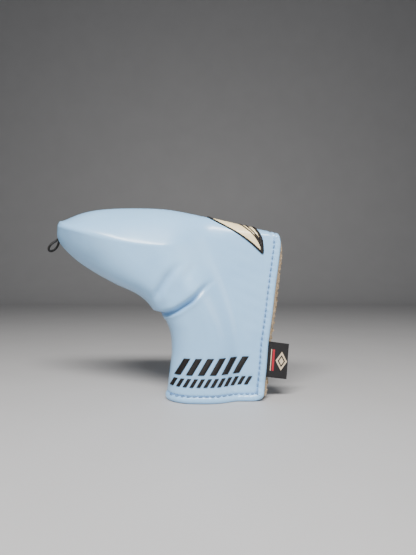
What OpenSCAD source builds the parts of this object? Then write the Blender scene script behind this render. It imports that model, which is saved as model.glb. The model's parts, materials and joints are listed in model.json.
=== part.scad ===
// Putter head cover: a padded, fleece-lined sleeve for a blade putter, folded over the top,
// seamed along the toe and the front of the neck, and closed by magnets along the heel edge.
// X runs from the toe (-) to the heel (+), the front panel faces -Y, and the rim stands on Z = 0.

/* [Outline] */
// Length of the cover from toe to heel
cover_length = 149; // [140:0.5:179]
// Height of the cover from the rim to the top of the fold
cover_height = 127; // [106:0.5:153]
// Width of the neck along the rim
neck_w = 64; // [60:0.5:77]

/* [Depth] */
// Half depth of the neck at the rim
neck_half = 16; // [13:0.5:20]
// How much further the heel band stands from the middle plane at the rim
rim_flare = 2.2; // [0:0.1:3]
// Half depth of the head at its widest
head_half = 23.5; // [19:0.5:28]
// Half width of the joint line where the two panels meet at the toe seam
seam_half = 0.5; // [0.4:0.05:0.7]

/* [Layers] */
// Thickness of the outer leather
leather_t = 1.2; // [0.8:0.1:1.5]
// Thickness of the foam between leather and lining
foam_t = 2.9; // [2.6:0.1:3.1]
// Thickness of the fleece lining
fleece_t = 2.5; // [1.8:0.1:2.7]
// Gap left between neighbouring layers
layer_gap = 0.1; // [0.05:0.05:0.15]
// Gap left between each lining and the middle plane along the heel edge
heel_gap = 0.4; // [0.3:0.1:1]
// How far the fleece stands out past the heel edge
fleece_reach = 1.8; // [0.5:0.1:2.5]

/* [Rim] */
// Width of the turned hem along the rim and the heel edge
hem_w = 4.4; // [3.5:0.1:5.5]
// Height of the hem's swell over the leather
hem_swell = 0.35; // [0.1:0.05:0.6]
// Distance between stitches along the hem
stitch_pitch = 3.8; // [3:0.1:5]
// Length of one stitch
stitch_len = 2.5; // [1.8:0.1:2.8]
// Diameter of the hem thread
thread_d = 0.8; // [0.5:0.05:1]

/* [Closure] */
// Diameter of a closure magnet
magnet_d = 9; // [6:0.5:9.5]
// Thickness of a closure magnet
magnet_t = 2; // [1:0.1:2.2]
// Clearance of a magnet's pocket in the foam, all round
magnet_gap = 0.15; // [0.1:0.05:0.3]
// Height of the lowest magnet
magnet_z = 19; // [16:0.5:22]
// Distance between magnets
magnet_pitch = 23; // [16:0.5:24]
// Thickness of the tape that carries the magnets
tape_t = 0.5; // [0.3:0.05:0.6]

/* [Label] */
// Height of the woven label
label_h = 23.5; // [15:0.5:30]
// How far the label stands out from the heel edge
label_reach = 14.2; // [8:0.1:18]
// Thickness of one leaf of the folded label
label_t = 0.4; // [0.3:0.05:0.5]
// Height of the middle of the label above the rim
label_z = 26.5; // [18:0.5:40]

/* [Hang loop] */
// Diameter of the hang loop's cord
loop_d = 1.6; // [1:0.1:2]

/* [Hidden] */

// Outline of the folded cover seen from the front, X and Z, from the neck's front corner.
toe_x = neck_w + 11.5 - cover_length;
function up(z) = z * cover_height / 127;
// Inner curve: up the front of the neck, round the crook and along the underside to the toe.
inner_curve = [[0, 0], [2, up(16)], [3.7, up(32)], [1.7, up(47)], [toe_x * 0.09, up(60.3)],
    [toe_x * 0.266, up(69.5)], [toe_x * 0.463, up(76.3)], [toe_x * 0.66, up(84.1)],
    [toe_x * 0.844, up(93.3)], [toe_x * 0.974, up(103.2)], [toe_x, up(109.8)],
    [toe_x * 0.974, up(116.2)]];
// Heel edge, from the rim to the top corner.
heel_curve = [[neck_w, 2.1], [neck_w + 2, up(20)], [neck_w + 3.4, up(37.5)],
    [neck_w + 5.8, up(55)], [neck_w + 7.9, up(73)], [neck_w + 10.1, up(90)],
    [neck_w + 11.5, up(103)], [neck_w + 10.1, up(110)]];
// Top fold, from the toe to the top corner.
top_curve = [[toe_x * 0.974, up(116.2)], [toe_x * 0.822, up(122.4)], [toe_x * 0.618, up(125.8)],
    [toe_x * 0.327, up(126.8)], [0, up(125.9)], [neck_w * 0.373, up(121.4)],
    [neck_w * 0.764, up(115.6)], [neck_w + 10.1, up(110)]];
corner_lift = heel_curve[0][1];
corner_share = 0.12;
// Magnets lie in the flat band along the heel edge, inside the hem.
magnet_in = hem_w + 1 + magnet_d / 2;
// Where the cover starts to thin towards the heel, and where its flat band starts.
taper_a = 0.44;
band_a = 1 - (magnet_in + magnet_d / 2 + 1.5) / neck_w;

// Depth of each layer's outer and inner face below the leather's outer face.
leather_in = leather_t;
foam_out = leather_in + layer_gap;
foam_in = foam_out + foam_t;
tape_out = foam_in + layer_gap / 2;
lining_out = foam_in + tape_t + 2 * layer_gap;
lining_in = lining_out + fleece_t;
// Half depth of the flat band along the heel edge.
heel_half = lining_in + heel_gap;

// The living hinge of each flap runs straight from the rim by the front seam to the heel edge.
hinge_base_a = 0.13;
hinge_top_a = 0.985;
hinge_top_b = 0.93;
hinge_gap = 0.5;
flap_rows = 11;
flap_cols = 11;
body_rows = 13;
crown_rows = 7;
body_cols = 16;

function mix(p, q, t) = p + (q - p) * t;
function clamp01(t) = min(max(t, 0), 1);
function smooth(t) = let (c = clamp01(t)) c * c * (3 - 2 * c);
function swell(t, power) = pow(1 - pow(1 - clamp01(t), power), 1 / power);

// A smooth curve through the points P, t from 0 to 1.
function spline(P, t) =
    let (
        n = len(P) - 1,
        s = clamp01(t) * n,
        i = min(floor(s), n - 1),
        f = s - i,
        p0 = i > 0 ? P[i - 1] : 2 * P[0] - P[1],
        p1 = P[i],
        p2 = P[i + 1],
        p3 = i + 2 <= n ? P[i + 2] : 2 * P[n] - P[n - 1]
    )
    0.5 * (2 * p1 + (p2 - p0) * f + (2 * p0 - 5 * p1 + 4 * p2 - p3) * f * f
        + (3 * p1 - p0 - 3 * p2 + p3) * f * f * f);

// Unit normal to the right of the curve's direction.
function right_of(P, t) =
    let (d = spline(P, min(t + 0.002, 1)) - spline(P, max(t - 0.002, 0)))
    [d[1], -d[0]] / norm(d);

// The four edges of the front view at a depth below the leather's outer face.
function toe_point(depth) = top_curve[0] + depth * [0.55, -0.83];
function inner_edge(b, depth) =
    let (
        n = right_of(inner_curve, b),
        miss = toe_point(depth) - spline(inner_curve, 1) - depth * right_of(inner_curve, 1)
    )
    spline(inner_curve, b) + depth * [n[0], n[1] * smooth(b * 12)] + pow(b, 6) * miss;
function top_edge(a, depth) =
    let (miss = toe_point(depth) - spline(top_curve, 0) - depth * right_of(top_curve, 0))
    spline(top_curve, a) + depth * right_of(top_curve, a) + pow(1 - a, 6) * miss;
function base_edge(a, depth) =
    [neck_w * a, corner_lift * pow(max(0, 1 - (1 - a) / corner_share), 2)]
    + [(1 - a) * depth * right_of(inner_curve, 0)[0], 0];
function heel_edge(b, depth) =
    spline(heel_curve, b) + pow(b, 4) * depth * right_of(top_curve, 1);

// Height of a row of the heel edge, and the point of the heel edge at a height.
function heel_b(z, low = 0, high = 1, n = 14) =
    n == 0 ? (low + high) / 2
    : let (m = (low + high) / 2)
        spline(heel_curve, m)[1] < z ? heel_b(z, m, high, n - 1) : heel_b(z, low, m, n - 1);
function heel_at(z) = spline(heel_curve, heel_b(z));

// The origin is midway between the toe and the label's outer edge.
centre_x = (toe_x + heel_at(label_z)[0] + label_reach) / 2;

// Place in the front view: a from the inner curve (0) to the heel edge (1), b from the rim (0)
// to the top fold (1).
function place(a, b, depth) =
    mix(inner_edge(b, depth), heel_edge(b, depth), a)
    + mix(base_edge(a, depth), top_edge(a, depth), b)
    - mix(mix(base_edge(0, depth), base_edge(1, depth), a),
        mix(toe_point(depth), top_edge(1, depth), a), b)
    - [centre_x, 0];

// Share of b that the sloped roof takes, from the ridge that starts at the toe's corner up to
// the top fold. It is widest in the middle.
function roof(a) =
    a < 0.5 ? 0.29 - 0.27 * pow(1 - a / 0.5, 2) : 0.29 - 0.23 * pow((a - 0.5) / 0.5, 1.5);
// Half depth of the cover: full in the head and the neck, flat along the heel edge, and falling
// to the toe seam and over the roof to the top fold.
function half_depth(a, b, depth) =
    let (
        crown = mix(neck_half, head_half, smooth((b - 0.12) / 0.55)),
        t = clamp01((a - taper_a) / (band_a - taper_a)),
        fade = pow(1 - t * t, mix(1.2, 1.9, t)),
        heel = heel_half + rim_flare * (1 - smooth(b / 0.08)),
        full = heel + (crown - heel) * fade,
        keel = mix(2.2, 1.55, smooth((b - 0.45) / 0.25))
    )
    seam_half + (full - depth - seam_half) * swell(a / 0.34, keel)
        * swell((1 - b) / roof(a), mix(1.25, 2, smooth((a - 0.45) / 0.5)));

// A point of the cover, side -1 on the front and 1 on the rear.
function at(a, b, depth, side) =
    let (p = place(a, b, depth))
    [p[0], side * half_depth(a, b, depth), p[1]];

// Share of a, or of b, that makes a distance w at the heel edge, or at the rim.
function heel_share(b, w) = w * 0.03 / norm(place(1, b, 0) - place(0.97, b, 0));
function rim_share(a, w) = w * 0.02 / norm(place(a, 0.02, 0) - place(a, 0, 0));
// Height of a row that starts a distance rim above the rim.
function lift(a, b, rim) = b + rim_share(a, rim) * pow(1 - b, 5);

hinge_base = place(hinge_base_a, 0, 0);
hinge_top = place(hinge_top_a, hinge_top_b, 0);
function across(p) =
    (hinge_top[0] - hinge_base[0]) * (p[1] - hinge_base[1])
    - (hinge_top[1] - hinge_base[1]) * (p[0] - hinge_base[0]);
// Where the row b meets the hinge line.
function hinge_a(b, rim, low = 0, high = 1, n = 16) =
    n == 0 ? (low + high) / 2
    : let (m = (low + high) / 2)
        across(place(m, lift(m, b, rim), 0)) > 0
            ? hinge_a(b, rim, m, high, n - 1) : hinge_a(b, rim, low, m, n - 1);
function flap_width(b) = (1 - hinge_a(b, 0)) / heel_share(b, 1);
// The row at which a flap is w wide.
function row_of_width(w, low = 0.3, high = hinge_top_b, n = 10) =
    n == 0 ? (low + high) / 2
    : let (m = (low + high) / 2)
        flap_width(m) > w ? row_of_width(w, m, high, n - 1) : row_of_width(w, low, m, n - 1);
panel_top_b = row_of_width(hem_w + 1.2);

function reverse(L) = [for (i = [len(L) - 1 : -1 : 0]) L[i]];
function flat(L) = [for (row = L) for (p = row) p];

// A closed slab between two grids of points with the same rows and columns.
module slab(outer, inner, flip = false) {
    r = len(outer);
    c = len(outer[0]);
    n = r * c;
    faces = concat(
        [for (i = [0 : r - 2]) for (j = [0 : c - 2])
            [i * c + j, (i + 1) * c + j, (i + 1) * c + j + 1]],
        [for (i = [0 : r - 2]) for (j = [0 : c - 2])
            [i * c + j, (i + 1) * c + j + 1, i * c + j + 1]],
        [for (i = [0 : r - 2]) for (j = [0 : c - 2])
            [n + i * c + j, n + (i + 1) * c + j + 1, n + (i + 1) * c + j]],
        [for (i = [0 : r - 2]) for (j = [0 : c - 2])
            [n + i * c + j, n + i * c + j + 1, n + (i + 1) * c + j + 1]],
        [for (i = [0 : r - 2]) [i * c, n + i * c, n + (i + 1) * c]],
        [for (i = [0 : r - 2]) [i * c, n + (i + 1) * c, (i + 1) * c]],
        [for (i = [0 : r - 2]) [i * c + c - 1, n + (i + 1) * c + c - 1, n + i * c + c - 1]],
        [for (i = [0 : r - 2]) [i * c + c - 1, (i + 1) * c + c - 1, n + (i + 1) * c + c - 1]],
        [for (j = [0 : c - 2]) [j, j + 1, n + j + 1]],
        [for (j = [0 : c - 2]) [j, n + j + 1, n + j]],
        [for (j = [0 : c - 2]) [n - c + j, n + n - c + j, n + n - c + j + 1]],
        [for (j = [0 : c - 2]) [n - c + j, n + n - c + j + 1, n - c + j + 1]]
    );
    polyhedron(
        points = concat(flat(outer), flat(inner)),
        faces = flip ? [for (f = faces) reverse(f)] : faces,
        convexity = 8
    );
}

// A closed tube whose rings each hold the same number of points.
module tube(rings, flip = false) {
    r = len(rings);
    c = len(rings[0]);
    faces = concat(
        [for (i = [0 : r - 2]) for (j = [0 : c - 1])
            [i * c + j, (i + 1) * c + j, (i + 1) * c + (j + 1) % c]],
        [for (i = [0 : r - 2]) for (j = [0 : c - 1])
            [i * c + j, (i + 1) * c + (j + 1) % c, i * c + (j + 1) % c]],
        [[for (j = [0 : c - 1]) j]],
        [[for (j = [c - 1 : -1 : 0]) (r - 1) * c + j]]
    );
    polyhedron(points = flat(rings), faces = flip ? [for (f = faces) reverse(f)] : faces,
        convexity = 6);
}

// Rows of the fixed body, from the rim to the top fold. Below the hinge's top a row ends at the
// hinge line, and above it at the heel hem.
body_b = concat(
    [for (i = [0 : body_rows - 1]) hinge_top_b * i / (body_rows - 1)],
    [for (i = [0 : crown_rows - 1])
        mix(hinge_top_b + 0.006, 1, 1 - pow(1 - i / (crown_rows - 1), 1.8))]
);
function body_end(b, rim, edge) =
    b <= hinge_top_b ? min(hinge_a(b, rim) - heel_share(b, hinge_gap), 1)
    : 1 - heel_share(b, edge);
function body_grid(depth, side, rim, edge) =
    [for (b = body_b)
        let (last = body_end(b, rim, edge))
        [for (j = [0 : body_cols - 1])
            let (a = last * pow(j / (body_cols - 1), 1.3))
            at(a, lift(a, b, rim), depth, side)]];
function body_panel(depth, rim, edge) =
    concat(body_grid(depth, -1, rim, edge), reverse(body_grid(depth, 1, rim, edge)));

// Column t of a flap's row from first to last: half of a row that crosses into the flat band
// lies before the band.
function flap_a(first, last, t) =
    first >= band_a ? mix(first, last, t)
    : t < 0.5 ? mix(first, band_a, 2 * t) : mix(band_a, last, 2 * t - 1);
// Rows of a flap, from the rim to where it ends against the hinge.
function flap_grid(depth, side, rim, edge, top_b) =
    [for (i = [0 : flap_rows - 1])
        let (b = top_b * i / (flap_rows - 1), first = hinge_a(b, rim) + heel_share(b, hinge_gap))
        [for (j = [0 : flap_cols - 1])
            let (
                a = flap_a(first, 1 - heel_share(b, edge), j / (flap_cols - 1)),
                p = at(min(a, 1), lift(min(a, 1), b, rim), depth, side)
            )
            p + [a > 1 ? (a - 1) / heel_share(b, 1) : 0, 0, 0]]];

module body_layer(near, far, side, rim, edge) {
    outer = body_grid(near, side, rim, edge);
    inner = body_grid(far, side, rim, edge);
    slab(side < 0 ? outer : reverse(outer), side < 0 ? inner : reverse(inner));
}
// The hem's fixed stretches: by the front seam along the rim, and round the top corner.
// face is -1 for the outer face and 1 for the inner one.
function hem_depth(face, t) = face > 0 ? foam_in : -hem_swell * sin(180 * t);
function rim_grid(face, side) =
    [for (i = [0 : 3])
        let (t = i / 3, rise = t * (hem_w - layer_gap), last = hinge_a(0, rise)
            - heel_share(0, hinge_gap))
        [for (j = [0 : 4])
            at(last * j / 4, lift(last * j / 4, 0, rise), hem_depth(face, t), side)]];
function corner_side(face, side) =
    [for (i = [0 : crown_rows - 1])
        let (b = body_b[body_rows + i])
        [for (j = [0 : 3]) at(1 - heel_share(b, (hem_w - layer_gap) * (1 - j / 3)), b,
            hem_depth(face, j / 3), side)]];
function corner_grid(face) = concat(corner_side(face, -1), reverse(corner_side(face, 1)));

module flap_layer(near, far, side, rim, edge, top_b) {
    slab(flap_grid(near, side, rim, edge, top_b), flap_grid(far, side, rim, edge, top_b),
        side > 0);
}

// The hem runs along the rim from the hinge, k = 0 to 1, and up the heel edge, k = 1 to 2.
hinge_slope = (hinge_top[0] - hinge_base[0]) / (hinge_top[1] - hinge_base[1]);
hem_start_a = hinge_a(0, 0) + heel_share(0, hinge_gap);
function hem_a(k) = k < 1 ? mix(hem_start_a, 1, k) : 1;
function hem_b(k) = k < 1 ? 0 : (k - 1) * hinge_top_b;
function hem_line(k) = place(hem_a(k), hem_b(k), 0);
function hem_inward(k) =
    let (d = hem_line(min(k + 0.02, 2)) - hem_line(max(k - 0.02, 0)))
    [-d[1], d[0]] / norm(d);
function hem_taper(k) = k < 1 ? 1 : min(1, (flap_width(hem_b(k)) - hinge_gap) / hem_w);
function hem_point(k, inset, depth, side) =
    let (
        slant = max(0, 1 - k) * inset * hinge_slope,
        p = place(hem_a(k), hem_b(k), depth) + hem_inward(k) * inset * hem_taper(k)
            + [slant, 0],
        a = min(1, hem_a(k) + slant / neck_w)
    )
    [p[0], side * half_depth(a, hem_b(k), depth), p[1]];
hem_stations = 36;
hem_inner = hem_w - layer_gap;
hem_section = [[hem_inner, 0.1], [hem_w * 0.75, -hem_swell * 0.8], [hem_w * 0.45, -hem_swell],
    [hem_w * 0.18, -hem_swell * 0.4], [0, leather_t * 0.8], [0, foam_in - 0.5], [0.6, foam_in],
    [hem_inner, foam_in]];
module flap_hem(side) {
    tube(
        [for (i = [0 : hem_stations])
            let (k = 2 * i / hem_stations)
            [for (q = hem_section) hem_point(k, q[0], q[1], side)]],
        side < 0
    );
}

module thread(p, q, d) {
    v = q - p;
    translate(p) rotate([0, acos(v[2] / norm(v)), atan2(v[1], v[0])])
        cylinder(h = norm(v), d = d, $fn = 16);
}
// A row of stitches on the hem's inner line, along the rim or up the heel edge.
module stitch_row(side, from_k, to_k) {
    length = norm(hem_line(to_k) - hem_line(from_k));
    count = floor(length / stitch_pitch);
    step = (to_k - from_k) / count;
    half = step * stitch_len / stitch_pitch / 2;
    for (i = [0 : count - 1]) {
        k = from_k + (i + 0.5) * step;
        thread(hem_point(k - half, hem_w, 0, side), hem_point(k + half, hem_w, 0, side),
            thread_d);
    }
}
module flap_stitches(side) {
    stitch_row(side, 0.03, 0.92);
    stitch_row(side, 1.05, 1.82);
}

magnet_depth = foam_out + (foam_t - magnet_t) / 2;
magnet_rows = [for (i = [0 : 2]) magnet_z + i * magnet_pitch];
module magnet_discs(side, d, depth, t) {
    for (z = magnet_rows)
        translate([heel_at(z)[0] - magnet_in - centre_x, side * (heel_half - depth), z])
            rotate([side * 90, 0, 0]) cylinder(h = t, d = d, $fn = 48);
}
module flap_foam(side) {
    difference() {
        flap_layer(foam_out, foam_in, side, hem_w, hem_w, panel_top_b);
        magnet_discs(side, magnet_d + 2 * magnet_gap, foam_out - 1, foam_t + 2);
    }
}
module magnet_tape(side) {
    margin = magnet_d / 2 + 1.5;
    low = heel_at(magnet_rows[0] - margin);
    high = heel_at(magnet_rows[2] + margin);
    run = high - low;
    translate([low[0] - magnet_in - centre_x, side * (heel_half - tape_out), low[1]])
        rotate([0, atan2(run[0], run[1]), 0])
            translate([-magnet_d / 2 - 0.5, side > 0 ? -tape_t : 0, 0])
                cube([magnet_d + 1, tape_t, norm(run)]);
}

// The row and the share of a that stand at the point p of the front view.
function locate(p, a = 0.5, b = 0.3, n = 6) =
    n == 0 ? [a, b]
    : let (
        q = place(a, b, 0),
        e = p - q,
        u = (place(a + 0.01, b, 0) - q) / 0.01,
        v = (place(a, b + 0.01, 0) - q) / 0.01,
        det = u[0] * v[1] - u[1] * v[0]
    )
    locate(p, clamp01(a + (e[0] * v[1] - e[1] * v[0]) / det),
        clamp01(b + (u[0] * e[1] - u[1] * e[0]) / det), n - 1);

// A slanted bar of thread on the front, beside the hinge line and parallel to it.
motif_low = 0.05;
motif_high = 0.65;
module motif_bar(offset, width, z0, z1) {
    grid = [for (depth = [-motif_high, -motif_low])
        [for (i = [0 : 3])
            let (z = mix(z0, z1, i / 3), x = hinge_base[0] + hinge_slope * z + offset)
            [for (e = [-0.5, 0.5])
                let (q = locate([x + e * width, z], 0.4, 0.2))
                at(q[0], q[1], depth, -1)]]];
    slab(grid[0], grid[1]);
}
bar_pitch = 7.6;
bar_w = 4.2;
dash_pitch = 4.4;
dash_w = 2.4;
module motif(first_bar, last_bar, first_dash, last_dash) {
    for (i = [first_bar : last_bar]) motif_bar((i + 0.5) * bar_pitch, bar_w, 18.2, 28.8);
    for (i = [first_dash : last_dash]) motif_bar((i + 0.5) * dash_pitch, dash_w, 10.6, 16);
}

// The leaf-shaped patch lies over the top fold. Its s runs across it and its t from the fold to
// the tip, the same on the front and the rear.
leaf_left = 0.735;
leaf_right = 0.91;
leaf_tip = locate(heel_at(up(95.4)) - [centre_x + 11.5, 0], 0.85, 0.85);
function leaf(s, t) =
    let (
        left = [mix(leaf_left, leaf_tip[0], t), mix(1, leaf_tip[1], t) + 0.03 * t * (1 - t)],
        right = [mix(leaf_right, leaf_tip[0], t) + 0.02 * t * (1 - t), mix(1, leaf_tip[1], t)]
    )
    mix(left, right, s);
leaf_rows = 9;
function leaf_strip(s0, s1, end, depth, cols) =
    let (
        ts = [for (i = [0 : leaf_rows - 1]) end * i / (leaf_rows - 1)],
        side_rows = function (side) [for (t = ts)
            [for (j = [0 : cols])
                let (q = leaf(mix(s0(t), s1(t), j / cols), t)) at(q[0], q[1], depth, side)]]
    )
    concat(reverse(side_rows(-1)), side_rows(1));
module leaf_band(s0, s1, end, out, in, cols = 1)
    slab(leaf_strip(s0, s1, end, -out, cols), leaf_strip(s0, s1, end, -in, cols));
// Share of the leaf's width that makes a distance w, at t.
function leaf_share(t, w) = w / max(1.2, 27 * (1 - t));

label_gap = 0.8;
label_tilt = atan2((heel_at(label_z + 5) - heel_at(label_z - 5))[0], 10);
label_depth = 2.6;
label_fold = 0.15;
// The label's frame: its root edge, on the slant of the heel edge.
module at_label_root()
    translate([heel_at(label_z)[0] + label_gap - centre_x, label_depth - heel_half, label_z])
        rotate([0, label_tilt, 0]) children();

// The hang loop's route in its own tilted plane, from one sewn-in end to the other: how far out
// from the toe and how far across.
loop_root = [-76.6, 0, 105.6];
loop_out = [-0.633, 0, -0.774];
loop_across = [0.232, 0.954, -0.19];
loop_route = [[-8, 0.9], [-5, 0.9], [-2.2, 0.95], [0, 1.1], [1.8, 1.9], [3.6, 2.9], [5.6, 3.4],
    [7.6, 3], [9, 1.7], [9.5, 0], [9, -1.7], [7.6, -3], [5.6, -3.4], [3.6, -2.9], [1.8, -1.9],
    [0, -1.1], [-2.2, -0.95], [-5, -0.9], [-8, -0.9]];
loop_rings = 37;
function loop_ring(i) =
    let (
        t = i / (loop_rings - 1),
        p = spline(loop_route, t),
        n = right_of(loop_route, t)
    )
    [for (k = [0 : 7])
        let (w = loop_d / 2 * [cos(45 * k), sin(45 * k)], u = p + n * w[0])
        loop_root + u[0] * loop_out + u[1] * loop_across
            + w[1] * cross(loop_out, loop_across)];

module outer_leather() color("lightsteelblue")
    slab(body_panel(0, hem_w, hem_w), body_panel(leather_in, hem_w, hem_w));
module front_foam() color("gray") body_layer(foam_out, foam_in, -1, hem_w, hem_w);
module rear_foam() color("gray") body_layer(foam_out, foam_in, 1, hem_w, hem_w);
module front_lining() color("tan") body_layer(lining_out, lining_in, -1, 0, 0);
module rear_lining() color("tan") body_layer(lining_out, lining_in, 1, 0, 0);
module body_hem() color("lightsteelblue") {
    for (side = [-1, 1]) slab(rim_grid(-1, side), rim_grid(1, side), side > 0);
    slab(corner_grid(-1), corner_grid(1));
}
module body_hem_stitches() color("steelblue")
    for (side = [-1, 1]) for (a = [0.035, 0.09])
        thread(at(a - 0.02, lift(a, 0, hem_w), 0, side), at(a + 0.02, lift(a, 0, hem_w), 0, side),
            thread_d);
module toe_seam_thread() color("steelblue")
    for (i = [0 : 33]) {
        p = place(0, 0.03 + 0.94 * i / 33, leather_t / 2);
        thread([p[0], -1.4, p[1]], [p[0], 1.4, p[1]], 0.5);
    }
module hang_loop() color("black") tube([for (i = [0 : loop_rings - 1]) loop_ring(i)]);
module applique_patch() color("antiquewhite")
    leaf_band(function (t) 0, function (t) 1, 0.97, 0.5, 0.05, 5);
module applique_border() color("black") {
    leaf_band(function (t) -leaf_share(t, 0.4), function (t) leaf_share(t, 1.2), 0.97, 1, 0.55);
    leaf_band(function (t) 1 - leaf_share(t, 1), function (t) 1 + leaf_share(t, 0.4), 0.97, 1,
        0.55);
}
module applique_stripes() color("black") {
    leaf_band(function (t) 0.67 + 0.1 * t, function (t) 0.67 + 0.1 * t + leaf_share(t, 0.9), 0.8,
        0.95, 0.55);
    leaf_band(function (t) 0.8 + 0.02 * t, function (t) 0.8 + 0.02 * t + leaf_share(t, 0.8), 0.7,
        0.95, 0.55);
}
module neck_motif() color("black") motif(-2, -1, -3, -1);
module front_flap_leather() color("lightsteelblue")
    flap_layer(0, leather_in, -1, hem_w, hem_w, panel_top_b);
module front_flap_foam() color("gray") flap_foam(-1);
module front_flap_lining() color("tan")
    flap_layer(lining_out, lining_in, -1, 0, -fleece_reach, panel_top_b);
module front_flap_hem() color("lightsteelblue") flap_hem(-1);
module front_flap_stitches() color("steelblue") flap_stitches(-1);
module front_magnets() color("silver") magnet_discs(-1, magnet_d, magnet_depth, magnet_t);
module front_magnet_tape() color("white") magnet_tape(-1);
module front_flap_motif() color("black") motif(0, 3, 0, 8);
module rear_flap_leather() color("lightsteelblue")
    flap_layer(0, leather_in, 1, hem_w, hem_w, panel_top_b);
module rear_flap_foam() color("gray") flap_foam(1);
module rear_flap_lining() color("tan")
    flap_layer(lining_out, lining_in, 1, 0, -fleece_reach, panel_top_b);
module rear_flap_hem() color("lightsteelblue") flap_hem(1);
module rear_flap_stitches() color("steelblue") flap_stitches(1);
module rear_magnets() color("silver") magnet_discs(1, magnet_d, magnet_depth, magnet_t);
module rear_magnet_tape() color("white") magnet_tape(1);
module woven_label() color("black")
    at_label_root() for (i = [0, 1])
        translate([0, i * (label_t + label_fold), -label_h / 2])
            cube([label_reach - label_gap, label_t, label_h]);
module label_stitches() color("black")
    at_label_root() for (i = [-2.5 : 2.5])
        translate([1, 0, i * label_h / 6.5 - label_h / 26]) cylinder(h = label_h / 13, d = 0.5,
            $fn = 16);

outer_leather();
front_foam();
rear_foam();
front_lining();
rear_lining();
body_hem();
body_hem_stitches();
toe_seam_thread();
hang_loop();
applique_patch();
applique_border();
applique_stripes();
neck_motif();
front_flap_leather();
front_flap_foam();
front_flap_lining();
front_flap_hem();
front_flap_stitches();
front_magnets();
front_magnet_tape();
front_flap_motif();
rear_flap_leather();
rear_flap_foam();
rear_flap_lining();
rear_flap_hem();
rear_flap_stitches();
rear_magnets();
rear_magnet_tape();
woven_label();
label_stitches();
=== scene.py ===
"""Putter head cover: two padded leather halves joined over the top fold and down the toe seam,
lined with fleece, hemmed along the rim and the heel edge, with a stitched leaf patch, a slanted
thread motif, a hang loop and a woven label. Lengths are in millimetres until a mesh is made."""
import json
import bpy
import numpy as np
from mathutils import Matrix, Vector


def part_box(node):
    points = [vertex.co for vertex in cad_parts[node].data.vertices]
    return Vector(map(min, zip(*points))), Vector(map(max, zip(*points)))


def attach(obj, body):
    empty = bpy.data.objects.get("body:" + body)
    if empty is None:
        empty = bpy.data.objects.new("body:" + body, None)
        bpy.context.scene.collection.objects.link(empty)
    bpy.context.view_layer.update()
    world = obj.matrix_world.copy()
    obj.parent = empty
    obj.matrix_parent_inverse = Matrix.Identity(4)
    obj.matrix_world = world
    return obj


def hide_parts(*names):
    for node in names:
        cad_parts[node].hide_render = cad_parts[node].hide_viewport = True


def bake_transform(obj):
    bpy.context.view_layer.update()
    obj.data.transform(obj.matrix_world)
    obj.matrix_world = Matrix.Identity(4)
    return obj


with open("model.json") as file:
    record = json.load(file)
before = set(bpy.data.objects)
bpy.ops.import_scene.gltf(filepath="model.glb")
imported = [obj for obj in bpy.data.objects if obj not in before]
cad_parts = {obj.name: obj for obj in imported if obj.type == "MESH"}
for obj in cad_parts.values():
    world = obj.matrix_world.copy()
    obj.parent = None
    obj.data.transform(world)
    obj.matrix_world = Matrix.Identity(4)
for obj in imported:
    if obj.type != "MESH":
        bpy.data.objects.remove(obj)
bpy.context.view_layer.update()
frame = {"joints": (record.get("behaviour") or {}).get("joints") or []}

MM = 0.001
FRONT, REAR = -1, 1
FLAP = {FRONT: "front_flap", REAR: "rear_flap"}
SIDE_NAME = {FRONT: "front", REAR: "rear"}


def box_mm(node):
    """Lowest and highest corner of a CAD node, in millimetres."""
    low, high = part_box(node)
    return np.array(low) / MM, np.array(high) / MM


# ---------------------------------------------------------------- sizes

# Outline, from the CAD boxes: toe at the leather's left end, heel at the hem's right end.
toe_x = box_mm("outer_leather")[0][0]
heel_x = box_mm("rear_flap_hem")[1][0]
neck_w = 64.0
neck_x = heel_x - neck_w - 11.5
reach = toe_x - neck_x
# Half depths of the neck, the head and the flat band along the heel edge.
neck_half = 16.0
head_half = 23.4
heel_half = 7.8
# Where the cover starts to thin towards the heel, and where its flat band starts.
taper_a, band_a = 0.44, 0.7516
# How much further the heel band stands out at the rim.
rim_flare = 2.2
# Depth of each layer's faces below the leather's outer face.
leather_in = 1.2
foam_out, foam_in = 1.3, 4.15
fleece_out, fleece_in = 4.9, 7.3
tape_out, tape_in = 4.3, 4.75
# The hem's stitches: the row's distance inside the edge, pitch, length and thread.
stitch_line = 4.75
stitch_pitch = 3.8
stitch_len = 2.5
thread_r = 0.42
# How far each half's fleece stands out past the heel edge.
fleece_reach = {FRONT: 2.6, REAR: 3.4}


# ---------------------------------------------------------------- helpers

def mix(p, q, t):
    """p at t = 0 and q at t = 1, in a straight line between."""
    return p + (q - p) * t


def smooth(t):
    """Zero below 0, one above 1, and an S between them."""
    t = np.clip(t, 0, 1)
    return t * t * (3 - 2 * t)


def hill(x, width):
    """A bell of height 1 that falls to 1/e at the given width."""
    return np.exp(-(np.asarray(x, float) / width) ** 2)


def swell(t, power):
    """A quarter of a superellipse, rising from 0 at t = 0 to 1 at t = 1."""
    return (1 - (1 - np.clip(t, 0, 1)) ** power) ** (1 / power)


def spline(points, t):
    """A smooth curve through the points, with t from 0 to 1: on each span, the cubic whose slope
    at a point is half the step between its neighbours."""
    P = np.asarray(points, float)
    n = len(P) - 1
    s = np.clip(np.asarray(t, float), 0, 1) * n
    i = np.minimum(s.astype(int), n - 1)
    f = (s - i)[..., None]
    Q = np.vstack([2 * P[0] - P[1], P, 2 * P[-1] - P[-2]])
    p0, p1, p2, p3 = Q[i], Q[i + 1], Q[i + 2], Q[i + 3]
    return 0.5 * (2 * p1 + (p2 - p0) * f + (2 * p0 - 5 * p1 + 4 * p2 - p3) * f ** 2
                  + (3 * p1 - p0 - 3 * p2 + p3) * f ** 3)


def unit(v):
    """The vectors scaled to length 1."""
    return v / np.maximum(np.linalg.norm(v, axis=-1, keepdims=True), 1e-9)


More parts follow.
